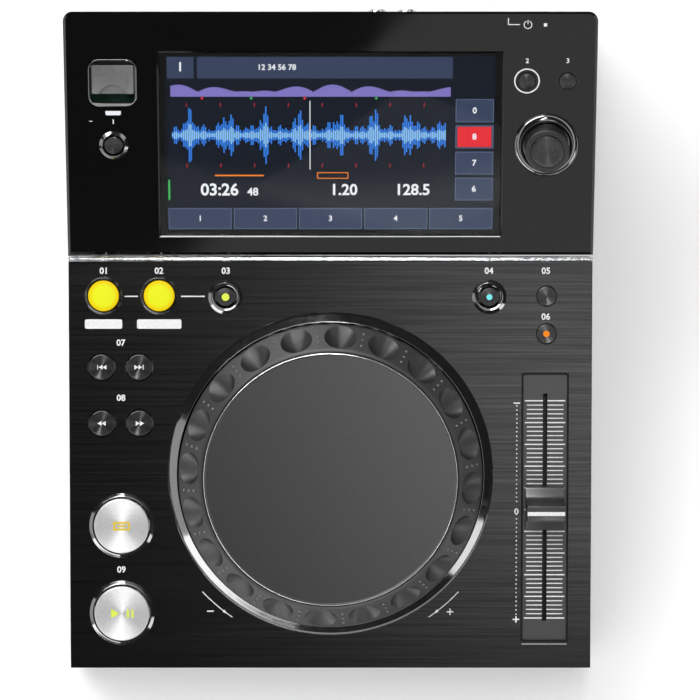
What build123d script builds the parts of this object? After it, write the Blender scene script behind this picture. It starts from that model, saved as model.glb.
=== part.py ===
from build123d import *
import os
from math import asin, atan2, cos, degrees, pi, radians, sin, tan

# A table-top disc jockey's media player: a flat brushed deck with a jog wheel and a tempo
# fader, and behind it a tilted glossy housing with a touch display. Millimetres, +Z up, the
# origin on the table under the middle of the player, the front edge towards -Y.

# Outer sizes of the player
body_width = 238.0
body_depth = 296.0
jack_reach = 7.5
foot_height = 4.0
deck_front_height = 50.5
deck_tilt = 5.0
deck_share = 0.62787
trim_depth = 3.0
display_rise = 3.6
display_tilt = 19.0
display_thickness = 12.0
rear_inset = 2.0
rear_corner = 4.3
housing_chamfer = 1.2

# Walls and sheets
wall = 2.5
floor_sheet = 2.0
deck_sheet = 1.5
deck_plate = 2.5
display_plate = 3.0
board_sheet = 1.6
rear_sheet = 1.5

# Clearances
slip = 0.2
running = 0.04
seat = 0.05
cap_gap = 0.35
reach_past = 1.0

# Where the two panels lie
deck_depth = deck_share * body_depth
front_y = -(body_depth + jack_reach) / 2
rear_y = front_y + body_depth
case_rear_y = rear_y - rear_inset
deck_end_y = front_y + deck_depth
display_front_y = deck_end_y + trim_depth
deck_rise = tan(radians(deck_tilt))
deck_cos = cos(radians(deck_tilt))
display_slope = tan(radians(display_tilt))
display_cos = cos(radians(display_tilt))
display_length = (rear_y - display_front_y) / display_cos
display_front_z = deck_front_height + (display_front_y - front_y) * deck_rise + display_rise
case_floor_z = foot_height + floor_sheet

deck = Plane(
    origin=(0, front_y, deck_front_height),
    x_dir=(1, 0, 0),
    z_dir=(0, -sin(radians(deck_tilt)), deck_cos),
)
display = Plane(
    origin=(0, display_front_y, display_front_z),
    x_dir=(1, 0, 0),
    z_dir=(0, -sin(radians(display_tilt)), display_cos),
)
rear = Plane(origin=(0, case_rear_y, 0), x_dir=(-1, 0, 0), z_dir=(0, 1, 0))

# Depths under each panel's surface, counted along its normal
case_top = -deck_sheet
case_under = -(deck_sheet + deck_plate)
deck_board_top = -12.0
display_board_top = -14.0

SEATED = (Align.CENTER, Align.CENTER, Align.MIN)


def deck_z(y, depth=0.0):
    """Height of a plane at a depth under the deck's surface."""
    return deck_front_height + (y - front_y) * deck_rise - depth / deck_cos


def display_z(y, depth=0.0):
    """Height of a plane at a depth under the display panel's surface."""
    return display_front_z + (y - display_front_y) * display_slope - depth / display_cos


def across(points, width):
    """A prism of a side outline of (y, z) points, as wide as given and centred."""
    outline = Plane.YZ * make_face(Polyline(*points, close=True))
    return extrude(outline, width / 2, both=True)


def disc(radius, low, high):
    """A round plug along Z from one height to another."""
    return Pos(0, 0, low) * Cylinder(radius, high - low, align=SEATED)


def block(width, depth, low, high):
    """A rectangular block along Z from one height to another."""
    return Pos(0, 0, low) * Box(width, depth, high - low, align=SEATED)


def pad(width, depth, corner, low, high):
    """A block with rounded upright corners."""
    return Pos(0, 0, low) * extrude(RectangleRounded(width, depth, corner), high - low)


def flats(radius, low, high, count):
    """A prism with flat sides that a circle of the radius just fits in."""
    outline = RegularPolygon(radius, count, major_radius=False)
    return Pos(0, 0, low) * extrude(outline, high - low)


def turned(*points):
    """A solid of revolution about Z from (radius, height) points."""
    return revolve(Plane.XZ * make_face(Polyline(*points, close=True)), Axis.Z)


def deck_spot(share_across, share_up):
    """A place on the deck, from shares of the body's width and of the deck's depth."""
    return (share_across * body_width, share_up * deck_depth)


def on(panel, place, part):
    """A part made about Z, set on a panel at its (across, up the slope) place."""
    return panel.location * Pos(place[0], place[1], 0) * part


nodes = {}


def keep(name, *parts):
    """Puts the solids of one sub-part in its node."""
    nodes[name] = [solid for part in parts for solid in part.solids()]


# Controls on the deck, as (across, up the slope from the front edge). Their shares keep them apart
# when the body or the deck changes.
jog_at = deck_spot(0.0, 0.481)
fader_at = deck_spot(0.4109, 0.3979)
loop_in_at = deck_spot(-0.4332, 0.9201)
loop_out_at = deck_spot(-0.3269, 0.9201)
reloop_at = deck_spot(-0.2004, 0.9169)
vinyl_at = deck_spot(0.3034, 0.9169)
tempo_range_at = deck_spot(0.4126, 0.919)
master_tempo_at = deck_spot(0.4126, 0.8265)
track_row = 0.7447 * deck_depth
search_row = 0.6064 * deck_depth
back_column = -0.4376 * body_width
forward_column = -0.3655 * body_width
transport_column = -0.4006 * body_width
cue_at = (transport_column, 0.3535 * deck_depth)
play_at = (transport_column, 0.1367 * deck_depth)

# Controls on the display panel, as (across, up the slope from its front edge): the window, and a
# column of controls in the strip on each side of it
window_width = 153.6
window_height = 0.7536 * display_length
strip_middle = (body_width + window_width) / 4
left_inset = 0.6
right_inset = 1.1
left_column = left_inset - strip_middle
right_column = strip_middle - right_inset
control_row = 0.4553 * display_length
key_row = 0.7183 * display_length
usb_at = (left_column, 0.7112 * display_length)
usb_light_at = (left_column, 0.5868 * display_length)
usb_stop_at = (left_column, control_row)
selector_at = (right_column, control_row)
standby_at = (right_column - 1.3, 0.9451 * display_length)
window_at = (0.0, control_row)
window_bevel = 0.7
lcd_margin = 3.7
glass_inset = 0.8

# Push buttons: cap radius, rise over the panel and travel
loop_radius = 7.0
mode_radius = 4.1
tempo_radius = 4.5
search_radius = 5.85
search_hole = 6.4
transport_radius = 12.5
stop_radius = 4.1
dome_radius = 3.65
small_travel = 0.8
transport_travel = 1.0
flange_margin = 1.0
flange_sheet = 1.2
flange_width = 5.0
key_chamfer = 0.4
hole_sides = 24
ring_hole_sides = 8
crown_width = 1.5
crown_rise = 0.8
switch_side = 6.0
switch_height = 4.3
stem_side = 3.6

loop_rise = 1.6
mode_rise = 1.2
tempo_rise = 0.6
search_rise = 0.9
transport_rise = 2.6
stop_rise = 0.5
dome_height = 1.6

# The back and tag keys share the room between the display module and the body's side wall
dome_flange = dome_radius + flange_margin
dome_low_x = window_width / 2 + lcd_margin + dome_flange
dome_high_x = body_width / 2 - wall - dome_flange
dome_room = dome_high_x - dome_low_x - 2 * dome_flange
back_at = (dome_low_x + 0.1466 * dome_room, key_row)
tag_at = (dome_high_x - 0.3477 * dome_room, key_row)

PLAIN = "plain"
BEVELLED = "bevelled"
CROWNED = "crowned"

deck_buttons = {
    "loop_in_button": (loop_in_at, loop_radius, loop_rise, small_travel, PLAIN),
    "loop_out_button": (loop_out_at, loop_radius, loop_rise, small_travel, PLAIN),
    "reloop_button": (reloop_at, mode_radius, mode_rise, small_travel, CROWNED),
    "vinyl_button": (vinyl_at, mode_radius, mode_rise, small_travel, CROWNED),
    "tempo_range_button": (tempo_range_at, tempo_radius, tempo_rise, small_travel, PLAIN),
    "master_tempo_button": (master_tempo_at, tempo_radius, tempo_rise, small_travel, PLAIN),
    "track_back_button": ((back_column, track_row), search_radius, search_rise, small_travel, PLAIN),
    "track_forward_button": ((forward_column, track_row), search_radius, search_rise, small_travel, PLAIN),
    "search_back_button": ((back_column, search_row), search_radius, search_rise, small_travel, PLAIN),
    "search_forward_button": ((forward_column, search_row), search_radius, search_rise, small_travel, PLAIN),
    "cue_button": (cue_at, transport_radius, transport_rise, transport_travel, BEVELLED),
    "play_button": (play_at, transport_radius, transport_rise, transport_travel, BEVELLED),
}
display_buttons = {
    "usb_stop_button": (usb_stop_at, stop_radius, stop_rise, small_travel, PLAIN),
    "back_button": (back_at, dome_radius, dome_height, small_travel, CROWNED),
    "tag_button": (tag_at, dome_radius, dome_height, small_travel, CROWNED),
}

# Rings round the buttons: outer and inner radius
ring_rise = 0.9
ring_lip = 0.7
loop_ring = (8.6, loop_radius + cap_gap)
mode_ring = (7.8, 4.95)
transport_ring = (14.8, transport_radius + cap_gap)
stop_ring = (6.5, stop_radius + cap_gap)
deck_rings = [
    (loop_in_at, loop_ring),
    (loop_out_at, loop_ring),
    (reloop_at, mode_ring),
    (vinyl_at, mode_ring),
    (cue_at, transport_ring),
    (play_at, transport_ring),
]

# Openings in the backing plate under the keys, from corner to corner
key_windows = [
    (deck_spot(-0.4769, 0.0592), deck_spot(-0.334, 0.4627)),
    (deck_spot(-0.4769, 0.5273), deck_spot(-0.334, 0.9685)),
    (deck_spot(-0.3345, 0.8609), deck_spot(-0.1513, 0.9685)),
    (deck_spot(0.2521, 0.7802), deck_spot(0.4706, 0.9685)),
]

# Jog wheel
jog_height = 22.0
jog_radius = 69.0
jog_gap = 0.7
bezel_radius = 74.2
bezel_rise = 3.2
jog_hole = 70.4
jog_hole_sides = 40
jog_skirt = 3.0
jog_shoulder = 9.0
jog_slope_radius = 59.4
jog_lip_drop = 0.4
jog_wall = 6.0
jog_step = 4.0
jog_hollow_sides = 24
plate_radius = 57.4
plate_gap = 0.5
plate_sheet = 2.5
plate_travel = 0.4
web_sheet = 2.5
dimple_count = 20
dimple_mouth = 7.6
dimple_waist = 5.2
dimple_floor = 2.6
dimple_step = 1.6
dimple_depth = 2.3
dimple_above = 0.6
dimple_sides = 12
dimple_start = 4.0
shaft_radius = 4.0
hub_radius = 8.0
hub_bottom = 2.5
hub_sides = 8
bushing_outer = 6.2
bushing_sides = 6
bushing_top = 2.3
bushing_length = 22.0
bracket_hub = 20.0
bracket_radius = 76.0
bracket_arm = 8.0
bracket_sheet = 3.0
bracket_floor = -18.5
encoder_radius = 26.0
encoder_sheet = 1.2
encoder_drop = 1.0
encoder_slots = 18
encoder_slot_length = 4.0
sensor_width = 12.0
sensor_length = 9.0
sensor_gap = 0.8
sensor_overlap = 6.0

# Tempo fader
fader_travel = 50.0
fader_panel_width = 21.2
fader_panel_length = 123.3
fader_panel_inset = 0.5
fader_slot_width = 2.1
lever_length = 4.0
lever_sheet = 1.2
fader_end_gap = 0.3
fader_slot_length = 2 * (fader_travel + fader_end_gap) + lever_length
fader_case_slot = 5.0
fader_body_width = 10.0
fader_body_height = 9.0
fader_body_wall = 1.2
carriage_length = 10.0
carriage_height = 4.0
fader_cap_width = 17.7
fader_cap_length = 19.6
fader_cap_bottom = 0.5
fader_cap_top = 15.0
fader_cap_foot = 2.0
fader_ridge = 6.8
fader_ridge_dip = 0.35
lever_depth_in_cap = 10.0

# Cover over the port on the display panel
port_bezel_side = 21.9
port_bezel_corner = 4.0
port_bezel_rise = 0.9
port_opening_width = 19.4
port_opening_length = 17.9
port_wall = 0.8
port_well_depth = 12.0
port_floor = 1.0
port_spigot_width = port_opening_width + 2 * port_wall
port_spigot_length = port_opening_length + 2 * port_wall
port_ledge = 0.8
flap_sheet = 1.4
flap_top = 0.3
flap_length = 13.4
flap_heel = 0.8
flap_axis_gap = 1.6
flap_pin_radius = 0.6
flap_pin_length = 0.6
flap_ledge_gap = 0.05
scoop_chord = 11.5
scoop_reach = 4.0
scoop_depth = 0.7
socket_width = 13.2
socket_depth = 5.8
socket_height = 13.0
socket_wall = 0.35
socket_base = 1.5
tongue_width = 11.1
tongue_sheet = 1.84
tongue_offset = 1.0
tongue_inset = 2.5
light_bar = (6.9, 1.9)
standby_side = 1.4
light_proud = 0.1

# Rotary selector
collar_radius = 14.65
collar_rise = 2.2
collar_top_radius = 11.6
collar_bore = 10.5
collar_floor = 0.2
grip_radius = 10.0
grip_bottom = 1.0
grip_top = 10.5
selector_cap_radius = 7.35
selector_cap_sheet = 0.6
selector_shaft_radius = 3.0
selector_travel = 0.6
encoder_body_width = 12.0
encoder_body_depth = 13.0
encoder_body_height = 7.0
encoder_nose = 9.0
shaft_hole = 3.4
plunger_side = 3.0
plunger_length = 1.7

# Inner boards, display module and rear connectors; board parts as share of the board's width,
# distance behind its middle, width, depth and height
main_board_top = 20.0
board_rear_gap = 3.25
main_board_x = -0.1176 * body_width
main_board_width = 0.5546 * body_width
main_board_depth = 66.0
power_board_x = 0.3256 * body_width
power_board_width = 0.2437 * body_width
power_board_depth = 76.0
main_board_parts = [
    (-0.09, -7.5, 24.0, 24.0, 2.2),
    (-0.33, -3.5, 16.0, 12.0, 1.6),
    (0.17, -7.5, 14.0, 18.0, 1.6),
    (-0.38, -25.5, 20.0, 6.0, 7.0),
]
power_board_parts = [
    (-0.13, -10.5, 22.0, 20.0, 18.0),
    (0.32, -18.5, 6.0, 30.0, 20.0),
    (-0.3, -28.5, 12.0, 8.0, 12.0),
]
floor_post = 6.0
lcd_width = window_width + 2 * lcd_margin
lcd_height = window_height + 6.6
lcd_thickness = 5.0
board_side_gap = 2.0
port_z = 27.0
jack_radius = 4.15
jack_bore = 1.6
jack_bore_sides = 8
jack_bore_depth = 9.0
jack_middle_x = 0.1202 * body_width
jack_pitch = 13.6
jack_xs = (jack_middle_x - jack_pitch / 2, jack_middle_x + jack_pitch / 2)
jack_block = (28.0, 12.0, 14.0)
link_x = -0.0588 * body_width
link_body = (16.0, 21.0, 14.0)
link_opening = (11.9, 7.2, 13.0)
link_latch = (6.2, 2.6)
link_offset = 0.8
usb_b_x = -0.1849 * body_width
usb_b_body = (12.2, 17.0, 11.4)
usb_b_opening = (8.6, 7.8, 10.0)
usb_b_tongue = (5.6, 3.2)
usb_b_inset = 1.0
inlet_x = 0.2437 * body_width
inlet_body = (24.0, 22.0, 14.0)
inlet_opening = (16.6, 8.4, 12.0)
inlet_pin_radius = 1.2
inlet_pin_sides = 8
inlet_pin_pitch = 8.6
inlet_pin_length = 9.0
power_x = 0.3559 * body_width
power_side = 8.8
power_edge = 0.8
power_travel = 2.0
power_tip_y = rear_y + 4.5
power_switch_side = 10.0
power_flange = 11.2
power_stem = 6.0
power_switch_gap = 5.0
window_low_z = 16.0
window_high_z = 40.0
window_left_x = -0.2605 * body_width
window_right_x = 0.4076 * body_width
lug_inner_x = 0.4307 * body_width
lug_outer_x = 0.4857 * body_width
lug_reach = 5.0
lug_top_z = 44.0

# Feet and the bosses that take the case screws
foot_width = 24.0
foot_depth = 16.0
foot_inset = 26.0
boss_side = 8.0
boss_height = 24.0
boss_inset = 6.5
boss_end_inset = 12.0
boss_ys = (front_y + boss_end_inset, front_y + 0.507 * body_depth, case_rear_y - boss_end_inset)
lip_height = 6.0
lip_sheet = 2.0
vent_count = 9
vent_width = 3.0
vent_length = 34.0
vent_pitch = 7.0

inner_width = body_width - 2 * wall
rear_plate_y = case_rear_y - wall
rear_plate_in = rear_plate_y - rear_sheet
board_rear_y = rear_plate_y - board_rear_gap
main_board_at = (main_board_x, board_rear_y - main_board_depth / 2)
main_board_size = (main_board_width, main_board_depth)
power_board_at = (power_board_x, board_rear_y - power_board_depth / 2)
power_board_size = (power_board_width, power_board_depth)
power_switch_y = rear_plate_in - power_switch_gap - power_travel - power_switch_side / 2


def boss_places():
    """The six screw bosses, three down each side."""
    side = body_width / 2 - boss_inset
    return [(x, y) for x in (-side, side) for y in boss_ys]


def board_posts(centre, size, inset=4.5):
    """The four corner posts of a board that lies level."""
    half_x = size[0] / 2 - inset
    half_y = size[1] / 2 - inset
    return [(centre[0] + i * half_x, centre[1] + j * half_y) for i in (-1, 1) for j in (-1, 1)]


deck_posts = [
    deck_spot(-0.4433, 0.0377), deck_spot(-0.3424, 0.0377),
    deck_spot(-0.4412, 0.495), deck_spot(-0.437, 0.9847),
    deck_spot(-0.2521, 0.9847), deck_spot(0.1261, 0.9847),
    deck_spot(0.4391, 0.9847), deck_spot(0.4391, 0.791),
]
display_post_near = 9.2
display_post_far = 5.5
display_post_xs = (window_width / 2 + display_post_near, body_width / 2 - display_post_far)
display_posts = [(side * x, share * display_length)
                 for side in (-1, 1) for x in display_post_xs for share in (0.3177, 0.8648)]
board_post = 4.6


def make_bottom_case():
    """The floor tray, with its standing lip, board posts and vents."""
    middle_y = (front_y + case_rear_y) / 2
    depth = case_rear_y - front_y
    tray = Pos(0, middle_y) * block(body_width, depth, foot_height, case_floor_z)
    lip_top = case_floor_z + lip_height
    outer = block(inner_width - 2 * slip, depth - 2 * wall - 2 * slip, case_floor_z, lip_top)
    lip_inner_width = inner_width - 2 * slip - 2 * lip_sheet
    lip_inner_depth = depth - 2 * wall - 2 * slip - 2 * lip_sheet
    inner = block(lip_inner_width, lip_inner_depth, case_floor_z, lip_top)
    lip = Pos(0, middle_y) * (outer - inner)
    notch = boss_side + 2 * slip
    clear = [Pos(x, y) * block(notch + 2 * wall, notch, case_floor_z, lip_top + reach_past)
             for x, y in boss_places()]
    tray += lip - clear
    post_top = main_board_top - board_sheet
    for x, y in board_posts(main_board_at, main_board_size) + board_posts(power_board_at, power_board_size):
        tray += Pos(x, y) * block(floor_post, floor_post, case_floor_z, post_top)
    vents = []
    for i in range(vent_count):
        x = (i - (vent_count - 1) / 2) * vent_pitch
        vents.append(Pos(x, middle_y) * block(vent_width, vent_length, 0, case_floor_z + reach_past))
    keep("bottom_case", tray - vents)


def make_cases():
    """The moulded body in its two halves: under the deck, and under the display with the rear lugs."""
    outer = across(
        [
            (front_y, case_floor_z),
            (front_y, deck_z(front_y, deck_sheet)),
            (display_front_y, deck_z(display_front_y, deck_sheet)),
            (display_front_y, display_z(display_front_y, display_thickness)),
            (case_rear_y, display_z(case_rear_y, display_thickness)),
            (case_rear_y, case_floor_z),
        ],
        body_width,
    )
    beam_y = display_front_y - wall
    ledge_y = display_front_y + wall + reach_past
    ledge_z = display_z(display_front_y, display_thickness) - wall
    above_z = display_z(rear_y)
    ceiling = deck_sheet + deck_plate
    inner = across(
        [
            (front_y + wall, 0),
            (front_y + wall, deck_z(front_y + wall, ceiling)),
            (beam_y, deck_z(beam_y, ceiling)),
            (beam_y, ledge_z),
            (ledge_y, ledge_z),
            (ledge_y, above_z),
            (case_rear_y - wall, above_z),
            (case_rear_y - wall, 0),
        ],
        inner_width,
    )
    case = outer - inner
    for x, y in boss_places():
        side = 1 if x > 0 else -1
        boss = block(boss_side + wall, boss_side, case_floor_z, case_floor_z + boss_height)
        case += Pos(x + side * wall / 2, y) * boss
    for place in deck_posts:
        case += on(deck, place, block(board_post, board_post, deck_board_top, case_under))
    lug_width = lug_outer_x - lug_inner_x
    lug_depth = rear_y + lug_reach - case_rear_y + wall / 2
    lug_y = rear_y + lug_reach - lug_depth / 2
    for side in (-1, 1):
        lug = block(lug_width, lug_depth, case_floor_z, lug_top_z)
        lug = chamfer(lug.faces().sort_by(Axis.Y)[-1].edges(), lug_reach / 3)
        case += Pos(side * (lug_inner_x + lug_outer_x) / 2, lug_y) * lug
    cuts = [on(deck, jog_at, flats(jog_hole, case_under - reach_past, reach_past, jog_hole_sides))]
    for (left, low), (right, high) in key_windows:
        window = block(right - left, high - low, case_under - reach_past, reach_past)
        cuts.append(on(deck, ((left + right) / 2, (low + high) / 2), window))
    slot = block(fader_case_slot, fader_slot_length + fader_case_slot, case_under - reach_past, reach_past)
    cuts.append(on(deck, fader_at, slot))
    opening = block(window_right_x - window_left_x, 3 * wall, window_low_z, window_high_z)
    cuts.append(Pos((window_left_x + window_right_x) / 2, case_rear_y - wall) * opening)
    case -= cuts
    behind = Pos(0, display_front_y + body_depth / 2) * Box(2 * body_width, body_depth, 2 * body_depth)
    keep("upper_case", case - behind)
    keep("rear_case", case & behind)


def make_deck_panel():
    """The brushed sheet that covers the deck, pierced for the controls."""
    sheet = across(
        [
            (front_y, deck_z(front_y)),
            (deck_end_y, deck_z(deck_end_y)),
            (deck_end_y, deck_z(deck_end_y, deck_sheet)),
            (front_y, deck_z(front_y, deck_sheet)),
        ],
        body_width,
    )
    cuts = [on(deck, jog_at, flats(jog_hole, -2 * deck_sheet, deck_sheet, jog_hole_sides))]
    for place, (_, inner) in deck_rings:
        cuts.append(on(deck, place, flats(inner, -2 * deck_sheet, deck_sheet, ring_hole_sides)))
    for place in (tempo_range_at, master_tempo_at):
        cuts.append(on(deck, place, flats(tempo_radius + cap_gap, -2 * deck_sheet, deck_sheet, hole_sides)))
    for row in (track_row, search_row):
        for column in (back_column, forward_column):
            cuts.append(on(deck, (column, row), flats(search_hole, -2 * deck_sheet, deck_sheet, hole_sides)))
    well = block(fader_panel_width + 2 * slip, fader_panel_length + 2 * slip, -2 * deck_sheet, deck_sheet)
    cuts.append(on(deck, fader_at, well))
    keep("deck_panel", sheet - cuts)


def make_display_trim():
    """The bright strip between deck and display, with two beads and a groove between them."""
    start = deck_end_y
    end = display_front_y
    bead = trim_depth / 3
    rise = display_rise / 2
    profile = [
        (start, deck_z(start, deck_sheet)),
        (start, deck_z(start) + 0.3 * rise),
        (start + bead / 2, deck_z(start) + 0.7 * rise),
        (start + bead, deck_z(start) + 0.3 * rise),
        (start + 1.6 * bead, deck_z(start) + 0.3 * rise),
        (start + 1.9 * bead, deck_z(start) + rise),
        (start + 2.4 * bead, deck_z(start) + 1.35 * rise),
        (end, deck_z(start) + 1.45 * rise),
        (end, deck_z(end, deck_sheet)),
    ]
    keep("display_trim", across(profile, body_width))


def make_display_housing():
    """The tilted glossy housing: one moulding, open below, with the window and control holes."""
    shell = across(
        [
            (display_front_y, display_z(display_front_y)),
            (rear_y, display_z(rear_y)),
            (rear_y, display_z(rear_y, display_thickness)),
            (display_front_y, display_z(display_front_y, display_thickness)),
        ],
        body_width,
    )
    corners = shell.edges().filter_by(Axis.Z).group_by(Axis.Y)[-1]
    shell = fillet(corners, rear_corner)
    face = shell.faces().filter_by(Plane(origin=display.origin, z_dir=display.z_dir)).sort_by(Axis.Z)[-1]
    front_edge = face.edges().sort_by(Axis.Y)[0]
    others = [edge for edge in face.edges() if not edge.is_same(front_edge)]
    shell = chamfer(others + [front_edge], housing_chamfer)
    back_wall = wall + rear_inset
    pocket = across(
        [
            (display_front_y + wall, display_z(display_front_y + wall, display_plate)),
            (rear_y - back_wall, display_z(rear_y - back_wall, display_plate)),
            (rear_y - back_wall, 0),
            (display_front_y + wall, 0),
        ],
        inner_width,
    )
    shell -= pocket
    for place in display_posts:
        shell += on(display, place, block(board_post, board_post, display_board_top, -display_plate + seat))
    below = -display_plate - reach_past
    window = block(window_width, window_height, below, reach_past)
    flare = Plane.XY * Rectangle(window_width, window_height)
    bevel = extrude(flare, window_bevel + seat, taper=-45)
    cuts = [on(display, window_at, window), on(display, window_at, Pos(0, 0, -window_bevel) * bevel)]
    for place in (back_at, tag_at):
        cuts.append(on(display, place, flats(dome_radius + cap_gap, below, reach_past, hole_sides)))
    cuts.append(on(display, usb_stop_at, flats(stop_ring[1], below, reach_past, ring_hole_sides)))
    well = block(port_spigot_width + 2 * seat, port_spigot_length + 2 * seat, below, reach_past)
    cuts.append(on(display, usb_at, well))
    nose_hole = encoder_nose + 2 * slip
    cuts.append(on(display, selector_at, block(nose_hole, nose_hole, below, reach_past)))
    bar = block(light_bar[0] + 2 * seat, light_bar[1] + 2 * seat, below, reach_past)
    cuts.append(on(display, usb_light_at, bar))
    hole = standby_side + 2 * seat
    cuts.append(on(display, standby_at, block(hole, hole, below, reach_past)))
    keep("display_housing", shell - cuts)


def make_display_stack():
    """The cover glass in the window and the display module clipped behind it."""
    glass = block(window_width - 2 * slip, window_height - 2 * slip, -display_plate, -glass_inset)
    keep("display_glass", on(display, window_at, glass))
    module = block(lcd_width, lcd_height, -display_plate - lcd_thickness, -display_plate)
    keep("lcd_module", on(display, window_at, module))


def button(radius, rise, travel, style, under, board_top):
    """A push button: cap, retaining flange under the panel and a stem over its switch."""
    cap = crown(radius, rise, style, under - seat)
    flange_low = under - seat - flange_sheet
    flange = block(2 * (radius + flange_margin), flange_width, flange_low, under - seat)
    stem_low = board_top + switch_height + travel + seat
    stem = block(stem_side, stem_side, stem_low, flange_low)
    return cap + flange + stem


def crown(radius, rise, style, low):
    """The visible cap of a button: plain, with a bevelled edge, or crowned."""
    if style == PLAIN:
        return disc(radius, low, rise)
    bevel, drop = (key_chamfer, key_chamfer) if style == BEVELLED else (crown_width, crown_rise)
    return turned((0, low), (radius, low), (radius, rise - drop), (radius - bevel, rise), (0, rise))


def switch(board_top):
    """A small push switch that stands on a board."""
    return block(switch_side, switch_side, board_top, board_top + switch_height)


def make_buttons():
    """Every push button of the two panels, and the switches under them."""
    switches = []
    for name, (place, radius, rise, travel, style) in deck_buttons.items():
        keep(name, on(deck, place, button(radius, rise, travel, style, case_top, deck_board_top)))
        switches.append(on(deck, place, switch(deck_board_top)))
    for name, (place, radius, rise, travel, style) in display_buttons.items():
        part = button(radius, rise, travel, style, -display_plate, display_board_top)
        keep(name, on(display, place, part))
        switches.append(on(display, place, switch(display_board_top)))
    keep("tact_switches", *switches)


def ring(outer, inner):
    """A dished ring that stands on its panel: a thin outer lip, falling inwards to the button."""
    return turned((outer, 0), (outer - ring_lip, ring_rise), (inner, 0))


def selector_dish():
    """The dished collar round the rotary selector."""
    return turned(
        (collar_radius, 0),
        (collar_top_radius, collar_rise),
        (collar_bore, collar_floor),
        (shaft_hole, collar_floor),
        (shaft_hole, 0),
    )


def make_surrounds():
    """The glossy rings round the buttons and the selector's collar."""
    parts = [on(deck, place, ring(outer, inner)) for place, (outer, inner) in deck_rings]
    parts.append(on(display, usb_stop_at, ring(*stop_ring)))
    parts.append(on(display, selector_at, selector_dish()))
    keep("button_surrounds", *parts)


def bowl(*rings):
    """A solid of flat faces through (radius, height) rings of one polygon, from its floor upwards."""
    turns = [2 * pi * i / dimple_sides for i in range(dimple_sides)]
    loops = [[(radius * cos(turn), radius * sin(turn), height) for turn in turns]
             for radius, height in rings]
    faces = [Face(Wire.make_polygon(loops[0])), Face(Wire.make_polygon(loops[-1]))]
    for low, high in zip(loops, loops[1:]):
        for i in range(dimple_sides):
            following = (i + 1) % dimple_sides
            corners = [low[i], low[following], high[following], high[i]]
            faces.append(Face(Wire.make_polygon(corners)))
    return Solid(Shell(faces))


def dimple():
    """A scoop for one finger, its mouth on the XY plane."""
    outward = dimple_mouth + (dimple_mouth - dimple_waist) / dimple_step * dimple_above
    return bowl(
        (dimple_floor, -dimple_depth),
        (dimple_waist, -dimple_step),
        (outward, dimple_above),
    )


def make_jog_wheel():
    """The parts of the jog wheel that show: bezel, dimpled ring and touch plate."""
    bore = jog_radius + jog_gap
    bezel = turned((bezel_radius, 0), (bore, bezel_rise), (bore, 0))
    keep("jog_bezel", on(deck, jog_at, bezel))

    lip_top = jog_height - jog_lip_drop
    web_top = jog_height - plate_sheet - plate_travel - seat
    web_low = web_top - web_sheet
    wheel = turned(
        (jog_radius, -jog_skirt),
        (jog_radius, jog_shoulder),
        (jog_slope_radius, lip_top),
        (shaft_radius, lip_top),
        (shaft_radius, hub_bottom),
        (hub_radius + running, hub_bottom),
        (hub_radius + running, -jog_skirt),
    )
    hollow = flats(jog_radius - jog_wall, -jog_skirt, jog_step, jog_hollow_sides)
    hollow += flats(jog_slope_radius - jog_wall, -jog_skirt, web_low, jog_hollow_sides)
    hollow -= flats(hub_radius, hub_bottom, web_low, hub_sides)
    hollow += flats(plate_radius + plate_gap, web_top, lip_top, jog_hole_sides)
    wheel -= hollow
    run = jog_radius - jog_slope_radius
    climb = lip_top - jog_shoulder
    slope = degrees(atan2(run, climb))
    middle = Pos((jog_radius + jog_slope_radius) / 2, 0, jog_shoulder + climb / 2)
    scoop = middle * Rot(0, 90 - slope, 0) * dimple()
    scoops = [Rot(0, 0, 90 - dimple_start - i * 360 / dimple_count) * scoop for i in range(dimple_count)]
    keep("jog_ring", on(deck, jog_at, wheel - scoops))

    keep("jog_plate", on(deck, jog_at, disc(plate_radius, jog_height - plate_sheet, jog_height)))


def slotted_disc(radius, slot_length, count):
    """The outline of a code disc with open slots round its rim."""
    step = 2 * pi / count
    points = []
    for i in range(count):
        root = radius - slot_length
        for part, reach in ((0.0, radius), (0.5, radius), (0.5, root), (1.0, root)):
            angle = (i + part) * step
            points.append((reach * cos(angle), reach * sin(angle)))
    return make_face(Polyline(*points, close=True))


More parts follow.
